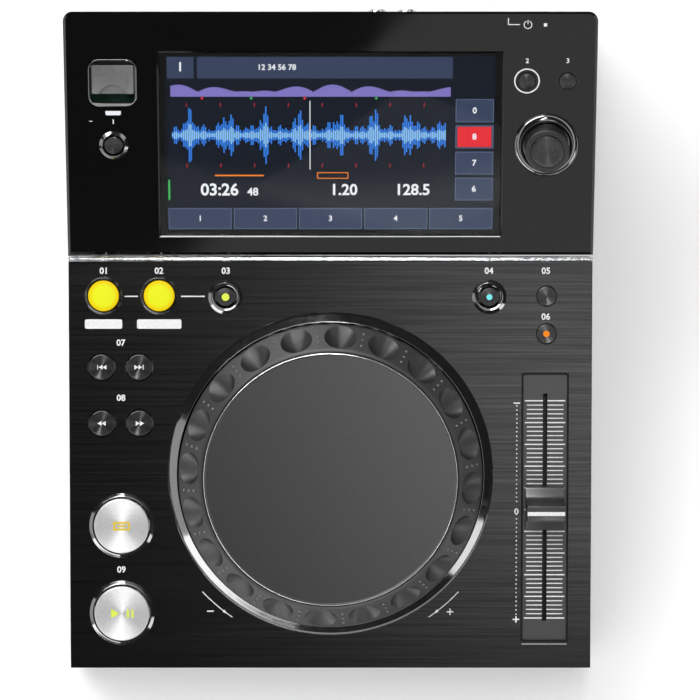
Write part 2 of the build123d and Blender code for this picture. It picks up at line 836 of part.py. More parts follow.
def make_jog_drive():
    """What carries and reads the jog wheel: shaft, bushing, bracket, code disc and its sensor."""
    web_top = jog_height - plate_sheet - plate_travel - seat
    bushing_low = bushing_top - bushing_length
    disc_top = bushing_low - encoder_drop
    disc_low = disc_top - encoder_sheet
    keep("jog_shaft", on(deck, jog_at, disc(shaft_radius, disc_low - reach_past, web_top)))
    sleeve = flats(bushing_outer, bushing_low, bushing_top, bushing_sides)
    bore = disc(shaft_radius + running, bushing_low, bushing_top)
    keep("jog_bushing", on(deck, jog_at, sleeve - bore))

    bracket = block(bracket_hub, bracket_hub, bushing_low + slip, bushing_top - slip)
    reach = bracket_radius + bracket_arm / 2
    for i in range(4):
        turn = Rot(0, 0, 45 + 90 * i)
        arm = block(reach, bracket_arm, bracket_floor, bracket_floor + bracket_sheet)
        post = block(bracket_arm, bracket_arm, bracket_floor, case_under)
        bracket += turn * Pos(reach / 2, 0) * arm
        bracket += turn * Pos(bracket_radius, 0) * post
    bracket -= flats(bushing_outer, bushing_low, bushing_top, bushing_sides)
    keep("jog_bracket", on(deck, jog_at, bracket))

    outline = slotted_disc(encoder_radius, encoder_slot_length, encoder_slots)
    code = Pos(0, 0, disc_low) * extrude(outline, encoder_sheet)
    code -= flats(shaft_radius, disc_low, disc_top, hub_sides)
    keep("encoder_disc", on(deck, jog_at, code))

    sensor_low = disc_low - sensor_gap - bracket_sheet
    reader = block(sensor_length, sensor_width, sensor_low, bracket_floor)
    gap = block(sensor_length, sensor_width, disc_low - sensor_gap, disc_top + sensor_gap)
    reader -= Pos(sensor_overlap - sensor_length, 0) * gap
    reach = encoder_radius - sensor_overlap + sensor_length / 2 + sensor_gap
    keep("jog_sensor", on(deck, jog_at, Rot(0, 0, 45) * Pos(reach, 0) * reader))


def make_fader():
    """The tempo fader: inset panel, body with its channel, carriage with lever, and cap."""
    panel_top = -fader_panel_inset
    panel = block(fader_panel_width, fader_panel_length, case_top, panel_top)
    panel -= block(fader_slot_width, fader_slot_length, case_top, panel_top)
    keep("slider_panel", on(deck, fader_at, panel))

    top = case_under
    low = top - fader_body_height
    channel_width = fader_body_width - 2 * fader_body_wall
    channel_length = 2 * fader_travel + carriage_length + 2 * fader_end_gap
    body = block(fader_body_width, channel_length + 4 * fader_body_wall, low, top)
    body -= block(channel_width, channel_length, low + fader_body_wall, top - fader_body_wall)
    body -= block(fader_slot_width, fader_slot_length, top - fader_body_wall, top)
    keep("fader_body", on(deck, fader_at, body))

    carriage_top = top - fader_body_wall - slip
    carriage = block(channel_width - 2 * slip, carriage_length, carriage_top - carriage_height, carriage_top)
    lever_top = fader_cap_bottom + lever_depth_in_cap
    carriage += block(lever_sheet, lever_length, carriage_top, lever_top)
    keep("slider_carriage", on(deck, fader_at, carriage))

    half = fader_cap_length / 2
    ridge = fader_ridge / 2
    foot_top = fader_cap_bottom + fader_cap_foot
    waist = (half * 0.5 + ridge * 0.5, foot_top + (fader_cap_top - foot_top) * 0.36)
    profile = [
        Line((-half, fader_cap_bottom), (half, fader_cap_bottom)),
        Line((half, fader_cap_bottom), (half, foot_top)),
        ThreePointArc((half, foot_top), waist, (ridge, fader_cap_top)),
        ThreePointArc((ridge, fader_cap_top), (0, fader_cap_top - fader_ridge_dip), (-ridge, fader_cap_top)),
        ThreePointArc((-ridge, fader_cap_top), (-waist[0], waist[1]), (-half, foot_top)),
        Line((-half, foot_top), (-half, fader_cap_bottom)),
    ]
    cap = extrude(Plane.YZ * make_face(profile), fader_cap_width / 2, both=True)
    cap -= block(lever_sheet, lever_length, fader_cap_bottom, lever_top)
    keep("slider_cap", on(deck, fader_at, cap))


def make_port():
    """The port on the display panel: bezel with its well, hinged flap and socket."""
    half_length = port_opening_length / 2
    floor_top = -port_well_depth
    well_low = floor_top - port_floor
    frame = pad(port_bezel_side, port_bezel_side, port_bezel_corner, 0, port_bezel_rise)
    frame += block(port_spigot_width, port_spigot_length, well_low, 0)
    frame -= block(port_opening_width, port_opening_length, floor_top, port_bezel_rise)
    ledge_top = flap_top - flap_sheet - flap_ledge_gap
    axis_v = half_length - flap_axis_gap
    ledge_back = axis_v - flap_heel - slip
    ledge_front = port_ledge - half_length
    for side in (-1, 1):
        ledge_x = side * (port_opening_width - port_ledge) / 2
        ledge = block(port_ledge, ledge_back - ledge_front, ledge_top - port_ledge, ledge_top)
        frame += Pos(ledge_x, (ledge_back + ledge_front) / 2) * ledge
    frame -= block(socket_width + 2 * seat, socket_depth + 2 * seat, well_low, floor_top)
    axis_h = flap_top - flap_sheet / 2
    pin_line = Pos(0, axis_v, axis_h) * Rot(0, 90, 0)
    pin_hole = 2 * (flap_pin_radius + running)
    frame -= pin_line * Box(pin_hole, pin_hole, port_opening_width + 2 * flap_pin_length)
    keep("usb_bezel", on(display, usb_at, frame))

    flap_width = port_opening_width - 2 * slip
    flap_v = axis_v + flap_heel - flap_length / 2
    flap = Pos(0, flap_v) * block(flap_width, flap_length, flap_top - flap_sheet, flap_top)
    flap += pin_line * Cylinder(flap_pin_radius, flap_width + 2 * flap_pin_length)
    edge_v = flap_v - flap_length / 2
    scoop_radius = (scoop_chord ** 2 / 4 + scoop_reach ** 2) / (2 * scoop_reach)
    cone = Cone(scoop_radius - scoop_depth, scoop_radius, scoop_depth, align=SEATED)
    flap -= Pos(0, edge_v + scoop_reach - scoop_radius, flap_top - scoop_depth) * cone
    keep("usb_flap", on(display, usb_at, flap))

    socket_low = floor_top - socket_height
    shell = block(socket_width, socket_depth, socket_low, floor_top)
    inner_width = socket_width - 2 * socket_wall
    inner_depth = socket_depth - 2 * socket_wall
    shell -= block(inner_width, inner_depth, socket_low + socket_base, floor_top)
    tongue = block(tongue_width, tongue_sheet, socket_low + socket_base, floor_top - tongue_inset)
    shell += Pos(0, tongue_offset) * tongue
    keep("usb_socket", on(display, usb_at, shell))

    bar = block(*light_bar, -display_plate, light_proud)
    lamp = block(standby_side, standby_side, -display_plate, light_proud)
    keep("indicator_lights", on(display, usb_light_at, bar), on(display, standby_at, lamp))


def make_selector():
    """The rotary selector: grip with its metal cap, shaft, plunger and encoder."""
    grip = disc(grip_radius, grip_bottom, grip_top) - disc(selector_shaft_radius, grip_bottom, grip_top)
    keep("selector_grip", on(display, selector_at, grip))
    cap = disc(selector_cap_radius, grip_top, grip_top + selector_cap_sheet)
    keep("selector_cap", on(display, selector_at, cap))

    body_top = display_board_top + encoder_body_height
    nose_top = collar_floor - slip
    plunger_low = display_board_top + selector_travel + slip
    plunger_top = plunger_low + plunger_length
    shaft_low = plunger_top + seat
    pocket_low = shaft_low - selector_travel - 2 * seat
    shaft = disc(selector_shaft_radius, shaft_low, grip_top)
    keep("selector_shaft", on(display, selector_at, shaft))
    plunger = block(plunger_side, plunger_side, plunger_low, plunger_top)
    keep("selector_plunger", on(display, selector_at, plunger))
    encoder = block(encoder_body_width, encoder_body_depth, display_board_top, body_top)
    encoder += block(encoder_nose, encoder_nose, body_top, nose_top)
    encoder -= disc(selector_shaft_radius + running, pocket_low, nose_top)
    well = plunger_side + 2 * running
    encoder -= block(well, well, display_board_top, pocket_low)
    keep("selector_encoder", on(display, selector_at, encoder))


def make_boards():
    """The control boards behind both panels, and the two boards on the floor."""
    low = deck_board_top - board_sheet
    parts = [
        (deck_spot(-0.4538, 0.0242), deck_spot(-0.3328, 0.9981)),
        (deck_spot(-0.4538, 0.9013), deck_spot(0.4538, 0.9981)),
        (deck_spot(0.3487, 0.7721), deck_spot(0.4538, 0.9981)),
    ]
    board = Part()
    for (left, front), (right, back) in parts:
        strip = block(right - left, back - front, low, deck_board_top)
        board += Pos((left + right) / 2, (front + back) / 2) * strip
    keep("control_board", on(deck, (0, 0), board))

    low = display_board_top - board_sheet
    near = lcd_width / 2 + board_side_gap
    far = body_width / 2 - wall - running - board_side_gap / 2
    front = 0.2912 * display_length
    back = 0.8912 * display_length
    strip = block(far - near, back - front, low, display_board_top)
    hole = block(socket_width, socket_depth, low, display_board_top)
    left = Pos(-(near + far) / 2, (front + back) / 2) * strip - Pos(*usb_at) * hole
    right = Pos((near + far) / 2, (front + back) / 2) * strip
    keep("display_board", on(display, (0, 0), left), on(display, (0, 0), right))

    board_low = main_board_top - board_sheet
    board = Pos(*main_board_at) * block(*main_board_size, board_low, main_board_top)
    for share, y, width, depth, height in main_board_parts:
        x = main_board_x + share * main_board_width
        board += Pos(x, main_board_at[1] + y) * block(width, depth, main_board_top, main_board_top + height)
    keep("main_board", board)

    board = Pos(*power_board_at) * block(*power_board_size, board_low, main_board_top)
    for share, y, width, depth, height in power_board_parts:
        x = power_board_x + share * power_board_width
        board += Pos(x, power_board_at[1] + y) * block(width, depth, main_board_top, main_board_top + height)
    switch_body = block(power_switch_side, power_switch_side, main_board_top, port_z + power_switch_side / 2)
    board += Pos(power_x, power_switch_y) * switch_body
    keep("power_supply_board", board)


def connector(x, size):
    """The body of a rear connector that stands on its board, flush with the rear plate."""
    width, depth, height = size
    return Pos(x, rear_plate_y - depth / 2) * block(width, depth, main_board_top, main_board_top + height)


def recess(x, z, size, near_y):
    """A straight box into a connector from behind, as (width, height, depth)."""
    width, height, depth = size
    return Pos(x, near_y - depth / 2, z) * Box(width, depth, height)


def rearward(x, z, part):
    """A part made about Z from the rear plate outwards, laid towards the rear."""
    return Pos(x, rear_plate_y, z) * Rot(-90, 0, 0) * part


def make_rear():
    """The recessed rear plate and what it carries."""
    span = window_right_x - window_left_x + 2 * wall
    plate = block(span, rear_sheet, window_low_z - wall, window_high_z + wall)
    plate = Pos((window_left_x + window_right_x) / 2, rear_plate_y - rear_sheet / 2) * plate
    jacks_x = sum(jack_xs) / 2
    holes = []
    bodies = ((jacks_x, jack_block), (link_x, link_body), (usb_b_x, usb_b_body), (inlet_x, inlet_body))
    for x, (width, _, tall) in bodies:
        hole = block(width + 2 * slip, 3 * rear_sheet, main_board_top - slip, main_board_top + tall + slip)
        holes.append(Pos(x, rear_plate_in) * hole)
    key_hole = power_side + 2 * slip
    holes.append(rearward(power_x, port_z, block(key_hole, key_hole, -2 * rear_sheet, rear_sheet)))
    keep("rear_panel", plate - holes)

    reach = (body_depth + jack_reach) / 2 - rear_plate_y
    jacks = connector(jacks_x, jack_block)
    for x in jack_xs:
        jacks += rearward(x, port_z, disc(jack_radius, 0, reach))
        jacks -= rearward(x, port_z, flats(jack_bore, reach - jack_bore_depth, reach, jack_bore_sides))
    keep("audio_jacks", jacks)

    socket = connector(link_x, link_body)
    link_z = main_board_top + link_body[2] / 2 + link_offset
    socket -= recess(link_x, link_z, link_opening, rear_plate_y)
    latch_z = link_z - link_opening[1] / 2 - link_latch[1] / 2
    socket -= recess(link_x, latch_z, (*link_latch, link_opening[2]), rear_plate_y)
    keep("link_port", socket)

    socket = connector(usb_b_x, usb_b_body)
    usb_z = main_board_top + usb_b_body[2] / 2
    socket -= recess(usb_b_x, usb_z, usb_b_opening, rear_plate_y)
    tongue = (*usb_b_tongue, usb_b_opening[2] - usb_b_inset)
    socket += recess(usb_b_x, usb_z, tongue, rear_plate_y - usb_b_inset)
    keep("usb_b_port", socket)

    inlet = connector(inlet_x, inlet_body)
    inlet -= recess(inlet_x, port_z, inlet_opening, rear_plate_y)
    floor = -inlet_opening[2]
    for side in (-1, 1):
        pin = flats(inlet_pin_radius, floor, floor + inlet_pin_length, inlet_pin_sides)
        inlet += rearward(inlet_x + side * inlet_pin_pitch / 2, port_z, pin)
    keep("ac_inlet", inlet)

    behind = -rear_sheet - seat
    key = block(power_side, power_side, behind, power_tip_y - rear_plate_y)
    key = chamfer(key.faces().sort_by(Axis.Z)[-1].edges(), power_edge)
    key += block(power_flange, power_flange, behind - flange_sheet, behind)
    stem_low = power_switch_y + power_switch_side / 2 + power_travel + seat - rear_plate_y
    key += block(power_stem, power_stem, stem_low, behind)
    keep("power_button", rearward(power_x, port_z, key))


def make_feet():
    """Four rubber feet."""
    side = body_width / 2 - foot_inset
    ys = (front_y + foot_inset, case_rear_y - foot_inset)
    feet = [Pos(x, y) * block(foot_width, foot_depth, 0, foot_height) for x in (-side, side) for y in ys]
    keep("feet", *feet)


make_bottom_case()
make_cases()
make_deck_panel()
make_display_trim()
make_display_housing()
make_display_stack()
make_buttons()
make_surrounds()
make_jog_wheel()
make_jog_drive()
make_fader()
make_port()
make_selector()
make_boards()
make_rear()
make_feet()

os.makedirs("parts", exist_ok=True)
for name, solids in nodes.items():
    export_step(Compound(solids), f"parts/{name}.step")
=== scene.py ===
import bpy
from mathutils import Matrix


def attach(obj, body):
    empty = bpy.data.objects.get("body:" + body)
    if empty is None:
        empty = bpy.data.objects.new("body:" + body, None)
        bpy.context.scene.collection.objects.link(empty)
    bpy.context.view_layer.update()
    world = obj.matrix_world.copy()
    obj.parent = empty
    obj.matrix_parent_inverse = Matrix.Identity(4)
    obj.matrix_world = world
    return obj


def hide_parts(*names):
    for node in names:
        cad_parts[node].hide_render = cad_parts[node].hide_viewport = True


bl_info = {
    "name": "Table-top player",
    "version": (1, 0, 0),
    "blender": (4, 5, 0),
    "location": "3D Viewport > Sidebar > Player",
    "description": "Dresses a packed table-top player with its finishes, prints and finer pieces",
    "category": "Object",
}

from math import asin, atan2, cos, pi, radians, sin

import bmesh
import bpy
from mathutils import Matrix, Vector

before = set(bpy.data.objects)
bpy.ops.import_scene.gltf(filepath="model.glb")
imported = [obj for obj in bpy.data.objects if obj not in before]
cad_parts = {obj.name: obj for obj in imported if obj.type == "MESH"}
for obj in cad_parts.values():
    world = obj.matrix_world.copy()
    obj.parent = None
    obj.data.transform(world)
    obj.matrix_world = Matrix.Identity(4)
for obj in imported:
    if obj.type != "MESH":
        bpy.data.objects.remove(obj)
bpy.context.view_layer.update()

MM = 0.001
DECK = Matrix.Translation((0, -0.15175, 0.0505)) @ Matrix.Rotation(radians(5), 4, "X")
DISPLAY = Matrix.Translation((0, 0.0371, 0.0706222)) @ Matrix.Rotation(radians(19), 4, "X")
TABLE = Matrix.Identity(4)
REAR = Matrix.Translation((0.02861, 0.14175, 0.027)) @ Matrix.Rotation(radians(-90), 4, "X")

JOG_AT = (0.0, 89.4)
FADER_AT = (97.8, 73.95)
SELECTOR_AT = (96.8, 51.6)
PORT_AT = (-97.3, 80.6)
STOP_AT = (-97.3, 51.6)
BACK_AT = (87.7, 81.4)
TAG_AT = (105.8, 81.4)
LOOP_IN_AT = (-103.1, 171.0)
LOOP_OUT_AT = (-77.8, 171.0)
RELOOP_AT = (-47.7, 170.4)
VINYL_AT = (72.2, 170.4)
RANGE_AT = (98.2, 170.8)
MASTER_AT = (98.2, 153.6)
BACK_COLUMN = -104.15
FORWARD_COLUMN = -87.0
TRACK_ROW = 138.4
SEARCH_ROW = 112.7
CUE_AT = (-95.35, 65.7)
PLAY_AT = (-95.35, 25.4)

# Heights on a panel: where a key's stem meets its switch, and the lit face of the display module
DECK_STEM = -6.85
CUE_STEM = -6.65
DISPLAY_STEM = -8.85
SCREEN_FACE = -2.98

PRINT = 0.03
NUMBER_HEIGHT = 2.9
ARROW_RADIUS = 79.8
FADER_PRINTS = -1.0
SCOOP_BALL = 12.9
RIM_SLOPE = atan2(12.6, 9.6)
POINTS_TO = {"left": 90, "right": -90}

# Where the lamps aim, and the height from which they face straight down instead
STUDIO_MIDDLE = (0, -0.06, 0.06)
OVERHEAD = 2.2
# Each lamp's name, place, size, level and spin
LAMPS = (
    ("key", (-0.58, 1.02, 1.09), (1.3, 0.42), 10.0, 0.0),
    ("strip", (0.05, 0.5, OVERHEAD), (0.13, 0.9), 31.5, -13.0),
    ("display_card", (0.447, -1.74, OVERHEAD), (1.2, 1.2), 0.75, 53.8),
    ("deck_card", (0.27, -0.44, OVERHEAD), (0.4, 0.4), 3.0, 0.0),
    ("front_left", (-0.62, -0.95, 0.3), (1.0, 0.26), 5.6, 0.0),
    ("front_right", (0.925, -0.71, 0.34), (0.42, 0.3), 4.2, 0.0),
    ("left", (-1.13, -0.26, 0.43), (0.93, 0.35), 1.4, 0.0),
)
# The room's brightness by how steeply one looks up: 0 is level and 1 straight up
WALLS = ((0.0, 1.0), (0.02, 1.0), (0.05, 0.03), (0.53, 0.03), (0.57, 1.0), (0.71, 1.0), (0.77, 0.03))
WALL_STRENGTH = 1.75

# Key, name, colour, metal, specular, roughness, then the grain's scale and the roughness from and to
PLAIN_FINISHES = (
    ("satin", "satin_moulding", (0.014, 0.014, 0.015), 0.0, 0.5, 0.38, 900, 0.33, 0.45),
    ("grey", "satin_grey", (0.19, 0.19, 0.195), 0.6, 0.5, 0.34, 700, 0.28, 0.4),
    ("chrome", "bright_trim", (0.72, 0.73, 0.74), 1.0, 0.5, 0.16, 500, 0.12, 0.22),
    ("plated", "plated_shell", (0.62, 0.61, 0.58), 1.0, 0.5, 0.25, 400, 0.2, 0.32),
    ("cap", "cap_moulding", (0.02, 0.02, 0.021), 0.0, 1.0, 0.34, 700, 0.3, 0.38),
    ("white_ring", "white_ring", (0.7, 0.7, 0.68), 0.0, 0.5, 0.4, 700, 0.36, 0.46),
    ("red_ring", "red_ring", (0.5, 0.02, 0.02), 0.0, 0.5, 0.4, 700, 0.36, 0.46),
    # The frame finish is painted shade: a dark matte sheet laid over the gap round the fader's inset panel.
    ("frame", "gap_shade_black", (0.006, 0.006, 0.006), 0.0, 0.15, 0.6, 700, 0.55, 0.65),
    ("connector", "connector_moulding", (0.01, 0.01, 0.01), 0.0, 0.5, 0.55, 600, 0.48, 0.62),
    ("steel", "turned_steel", (0.42, 0.42, 0.43), 1.0, 0.5, 0.32, 500, 0.26, 0.4),
    ("brass", "plain_brass", (0.62, 0.48, 0.2), 1.0, 0.5, 0.3, 500, 0.25, 0.38),
)
# Key, name, colour, roughness, the grain's scale and two (position, colour) stops
MOTTLED_FINISHES = (
    ("ink", "white_ink", (0.72, 0.72, 0.72), 0.5, 1500, (0.3, (0.62, 0.62, 0.63)), (0.7, (0.78,) * 3)),
    # The grey ink paints the highlight along the lower edge of the fader's recess.
    ("grey_ink", "grey_ink", (0.3, 0.3, 0.3), 0.5, 1500, (0.3, (0.24,) * 3), (0.7, (0.34,) * 3)),
    ("board", "circuit_board", (0.015, 0.09, 0.045), 0.4, 260,
     (0.4, (0.012, 0.07, 0.035)), (0.6, (0.02, 0.12, 0.06))),
)
# What glows, in the colours that it shows
LIT_FINISHES = {
    "lit_white": (0.81, 0.837, 0.864), "lit_slate": (0.034, 0.05, 0.1), "lit_slate_edge": (0.11, 0.15, 0.25),
    "lit_blue": (0.03, 0.2, 0.75), "lit_pale_blue": (0.25, 0.55, 0.95), "lit_violet": (0.2, 0.17, 0.5),
    "lit_red": (0.75, 0.02, 0.03), "lit_orange": (0.9, 0.25, 0.02), "lit_green": (0.05, 0.5, 0.1),
    "lit_lime": (0.75, 0.85, 0.1), "lit_amber": (0.75, 0.55, 0.05), "lit_cyan": (0.2, 0.8, 0.85),
    "lit_navy": (0.003, 0.006, 0.014),
}


# Selecting and shaping


def shift(x, y, z=0):
    """A move by millimetres."""
    return Matrix.Translation((x * MM, y * MM, z * MM))


def clear():
    """Leaves edit mode and selects nothing."""
    if bpy.context.mode != "OBJECT":
        bpy.ops.object.mode_set(mode="OBJECT")
    bpy.ops.object.select_all(action="DESELECT")


def choose(piece):
    """Makes one piece the only one selected."""
    clear()
    piece.select_set(True)
    bpy.context.view_layer.objects.active = piece


def edit(piece):
    """Opens a piece in edit mode with nothing in it selected."""
    choose(piece)
    bpy.ops.object.mode_set(mode="EDIT")
    bpy.ops.mesh.select_all(action="DESELECT")


def take_all():
    """Selects all of the open piece."""
    bpy.ops.mesh.select_all(action="SELECT")


def face_out():
    """Points the open piece's faces outwards and leaves edit mode."""
    take_all()
    bpy.ops.mesh.normals_make_consistent(inside=False)
    clear()


def pick(piece, kind, test):
    """Selects the open piece's faces or edges that a test on them passes."""
    bpy.ops.mesh.select_mode(type=kind)
    bpy.ops.mesh.select_all(action="DESELECT")
    mesh = bmesh.from_edit_mesh(piece.data)
    for item in mesh.faces if kind == "FACE" else mesh.edges:
        item.select_set(bool(test(item)))
    bmesh.update_edit_mesh(piece.data)


def upright(edge):
    """True for an edge that runs along Z."""
    run = edge.verts[1].co - edge.verts[0].co
    return abs(run.z) > 0.9 * run.length


def settle():
    """Puts the selected pieces' places into their meshes."""
    bpy.ops.object.transform_apply(location=True, rotation=True, scale=True)


def made(name):
    """Names the piece that a primitive has just made, and puts its place into its mesh."""
    piece = bpy.context.object
    piece.name = name
    piece.data.name = name
    settle()
    return piece


def turned(name, profile, segments=96, centre=(0, 0)):
    """Turns a profile of (radius, height) points, in millimetres, about Z: closed, or from axis to axis."""
    clear()
    solid = profile[0][0] == 0
    points = [(max(radius, 0.02), height) for radius, height in profile]
    if not solid:
        points.append(points[0])
    radius, height = points[0]
    bpy.ops.mesh.primitive_circle_add(vertices=segments, radius=radius * MM, fill_type="NOTHING",
                                      location=(centre[0] * MM, centre[1] * MM, height * MM))
    piece = made(name)
    edit(piece)
    take_all()
    if solid:
        bpy.ops.mesh.edge_face_add()
        pick(piece, "EDGE", lambda edge: True)
    for next_radius, next_height in points[1:]:
        bpy.ops.mesh.extrude_edges_move(TRANSFORM_OT_translate={"value": (0, 0, (next_height - height) * MM)})
        factor = next_radius / radius
        bpy.ops.transform.resize(value=(factor, factor, 1))
        radius, height = next_radius, next_height
    if solid:
        bpy.ops.mesh.edge_face_add()
    else:
        take_all()
        bpy.ops.mesh.remove_doubles(threshold=1e-6)
    face_out()
    return piece


def block(name, size, low, high, corner=0.0, edge=0.0, steps=6, centre=(0, 0), ends="top"):
    """A block with rounded upright corners and eased edges at its top or at both ends."""
    clear()
    place = (centre[0] * MM, centre[1] * MM, (low + high) / 2 * MM)
    bpy.ops.mesh.primitive_cube_add(size=1, location=place)
    bpy.context.object.scale = (size[0] * MM, size[1] * MM, (high - low) * MM)
    piece = made(name)
    edit(piece)
    if corner:
        pick(piece, "EDGE", upright)
        bpy.ops.mesh.bevel(offset=corner * MM, segments=steps, affect="EDGES")
    if edge:
        def rim(item):
            heights = [vert.co.z / MM for vert in item.verts]
            at_top = min(heights) > high - 1e-3
            at_bottom = max(heights) < low + 1e-3 and ends == "both"
            return at_top or at_bottom
        pick(piece, "EDGE", rim)
        bpy.ops.mesh.bevel(offset=edge * MM, segments=3, affect="EDGES")
    clear()
    return piece


def ball(name, radius, segments, rings):
    """A ball about the origin."""
    clear()
    bpy.ops.mesh.primitive_uv_sphere_add(segments=segments, ring_count=rings, radius=radius * MM)
    return made(name)


def cut(piece, *tools):
    """Takes tools out of a piece and removes them."""
    for tool in tools:
        choose(piece)
        cutter = piece.modifiers.new("cut", "BOOLEAN")
        cutter.operation = "DIFFERENCE"
        cutter.solver = "EXACT"
        cutter.object = tool
        bpy.ops.object.modifier_apply(modifier=cutter.name)
        bpy.data.objects.remove(tool)
    return piece


def ease(piece, width, angle):
    """Eases a piece's edges that are sharper than an angle."""
    choose(piece)
    bevel = piece.modifiers.new("ease", "BEVEL")
    bevel.width = width * MM
    bevel.segments = 2
    bevel.limit_method = "ANGLE"
    bevel.angle_limit = radians(angle)
    bpy.ops.object.modifier_apply(modifier=bevel.name)


def joined(name, *parts):
    """Joins pieces into the first of them."""
    clear()
    for part in parts:
        part.select_set(True)
    bpy.context.view_layer.objects.active = parts[0]
    bpy.ops.object.join()
    parts[0].name = name
    return parts[0]


def repeated(name, piece, places):
    """Copies a piece to each place, every copy with its own mesh, and joins the copies."""
    copies = []
    for place in places:
        other = piece.copy()
        other.data = piece.data.copy()
        bpy.context.collection.objects.link(other)
        other.matrix_world = place
        choose(other)
        settle()
        copies.append(other)
    bpy.data.objects.remove(piece)
    return joined(name, *copies)


def seat(piece, panel, place, look, body="chassis", replaces=None, angle=30, height=0.0):
    """Sets a piece made about Z on its panel, dresses it, and says what it rides on and stands for."""
    choose(piece)
    piece.matrix_world = panel @ shift(*place, height) @ piece.matrix_world
    settle()
    bpy.ops.object.shade_smooth_by_angle(angle=radians(angle))
    piece.data.materials.clear()
    piece.data.materials.append(finishes[look])
    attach(piece, body)
    if replaces:
        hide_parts(replaces)


def around(piece, panel, place):
    """Gives a turned piece a UV map whose U runs round its axis, for a spun finish."""
    back = (panel @ shift(*place)).inverted()
    layer = piece.data.uv_layers.new(name="round")
    for face in piece.data.polygons:
        centre = back @ face.center
        middle = atan2(centre.y, centre.x)
        for loop in face.loop_indices:
            at = back @ piece.data.vertices[piece.data.loops[loop].vertex_index].co
            turn = atan2(at.y, at.x)
            turn += 2 * pi * round((middle - turn) / (2 * pi))
            layer.data[loop].uv = (turn / (2 * pi), at.xy.length * 10)


# Finishes


finishes = {}


def finish(key, name, colour, roughness=0.5, metal=0.0, specular=0.5, glow=None, strength=0.0):
    """A finish with its plain values set on the shader, kept under its key."""
    material = bpy.data.materials.new(name)
    material.use_nodes = True
    shader = material.node_tree.nodes["Principled BSDF"]
    shader.inputs["Base Color"].default_value = (*colour, 1)
    shader.inputs["Roughness"].default_value = roughness
    shader.inputs["Metallic"].default_value = metal
    shader.inputs["Specular IOR Level"].default_value = specular
    if glow:
        shader.inputs["Emission Color"].default_value = (*glow, 1)
        shader.inputs["Emission Strength"].default_value = strength
    finishes[key] = material
    return material


def dimmed(colour, share):
    """A colour times a share."""
    return [channel * share for channel in colour]


def noise(material, scale=1.0, stretch=(1, 1, 1), detail=2.0):
    """The value of a noise on the material's object coordinates."""
    nodes = material.node_tree.nodes
    links = material.node_tree.links
    place = nodes.new("ShaderNodeTexCoord")
    mapping = nodes.new("ShaderNodeMapping")
    mapping.inputs["Scale"].default_value = stretch
    links.new(place.outputs["Object"], mapping.inputs["Vector"])
    grain = nodes.new("ShaderNodeTexNoise")
    grain.inputs["Scale"].default_value = scale
    grain.inputs["Detail"].default_value = detail
    links.new(mapping.outputs["Vector"], grain.inputs["Vector"])
    return grain.outputs["Fac"]


def varied(material, value, low, high):
    """Drives a finish's roughness from a noise, between two limits."""
    nodes = material.node_tree.nodes
    links = material.node_tree.links
    ranged = nodes.new("ShaderNodeMapRange")
    ranged.inputs["From Min"].default_value = 0.3
    ranged.inputs["From Max"].default_value = 0.7
    ranged.inputs["To Min"].default_value = low
    ranged.inputs["To Max"].default_value = high
    links.new(value, ranged.inputs["Value"])
    links.new(ranged.outputs["Result"], nodes["Principled BSDF"].inputs["Roughness"])


def ramp(nodes, stops):
    """A colour ramp through (position, colour) stops."""
    colours = nodes.new("ShaderNodeValToRGB")
    marks = colours.color_ramp.elements
    marks[0].position, marks[0].color = stops[0][0], (*stops[0][1], 1)
    marks[1].position, marks[1].color = stops[-1][0], (*stops[-1][1], 1)
    for position, colour in stops[1:-1]:
        marks.new(position).color = (*colour, 1)
    return colours


def tinted(material, value, stops, socket="Base Color"):
    """Drives a colour of the shader from a texture's value through (position, colour) stops."""
    nodes = material.node_tree.nodes
    colours = ramp(nodes, stops)
    material.node_tree.links.new(value, colours.inputs["Fac"])
    material.node_tree.links.new(colours.outputs["Color"], nodes["Principled BSDF"].inputs[socket])


def distance_out(material):
    """How far a point lies from its piece's axis, in tenths of a metre, from the round UV map's V."""
    nodes = material.node_tree.nodes
    chart = nodes.new("ShaderNodeUVMap")
    chart.uv_map = "round"
    parts = nodes.new("ShaderNodeSeparateXYZ")
    material.node_tree.links.new(chart.outputs["UV"], parts.inputs[0])
    return parts.outputs["Y"]


def relief(material, value, strength, depth):
    """Roughens a surface's normal from a texture's value."""
    nodes = material.node_tree.nodes
    links = material.node_tree.links
    bump = nodes.new("ShaderNodeBump")
    bump.inputs["Strength"].default_value = strength
    bump.inputs["Distance"].default_value = depth * MM
    links.new(value, bump.inputs["Height"])
    links.new(bump.outputs["Normal"], nodes["Principled BSDF"].inputs["Normal"])


def spun(material, amount):
    """Stretches a finish's highlights as a lathe's marks do, along the piece's round UV map."""
    nodes = material.node_tree.nodes
    shader = nodes["Principled BSDF"]
    shader.inputs["Anisotropic"].default_value = amount
    shader.inputs["Anisotropic Rotation"].default_value = 0.25
    tangent = nodes.new("ShaderNodeTangent")
    tangent.direction_type = "UV_MAP"
    tangent.uv_map = "round"
    material.node_tree.links.new(tangent.outputs["Tangent"], shader.inputs["Tangent"])


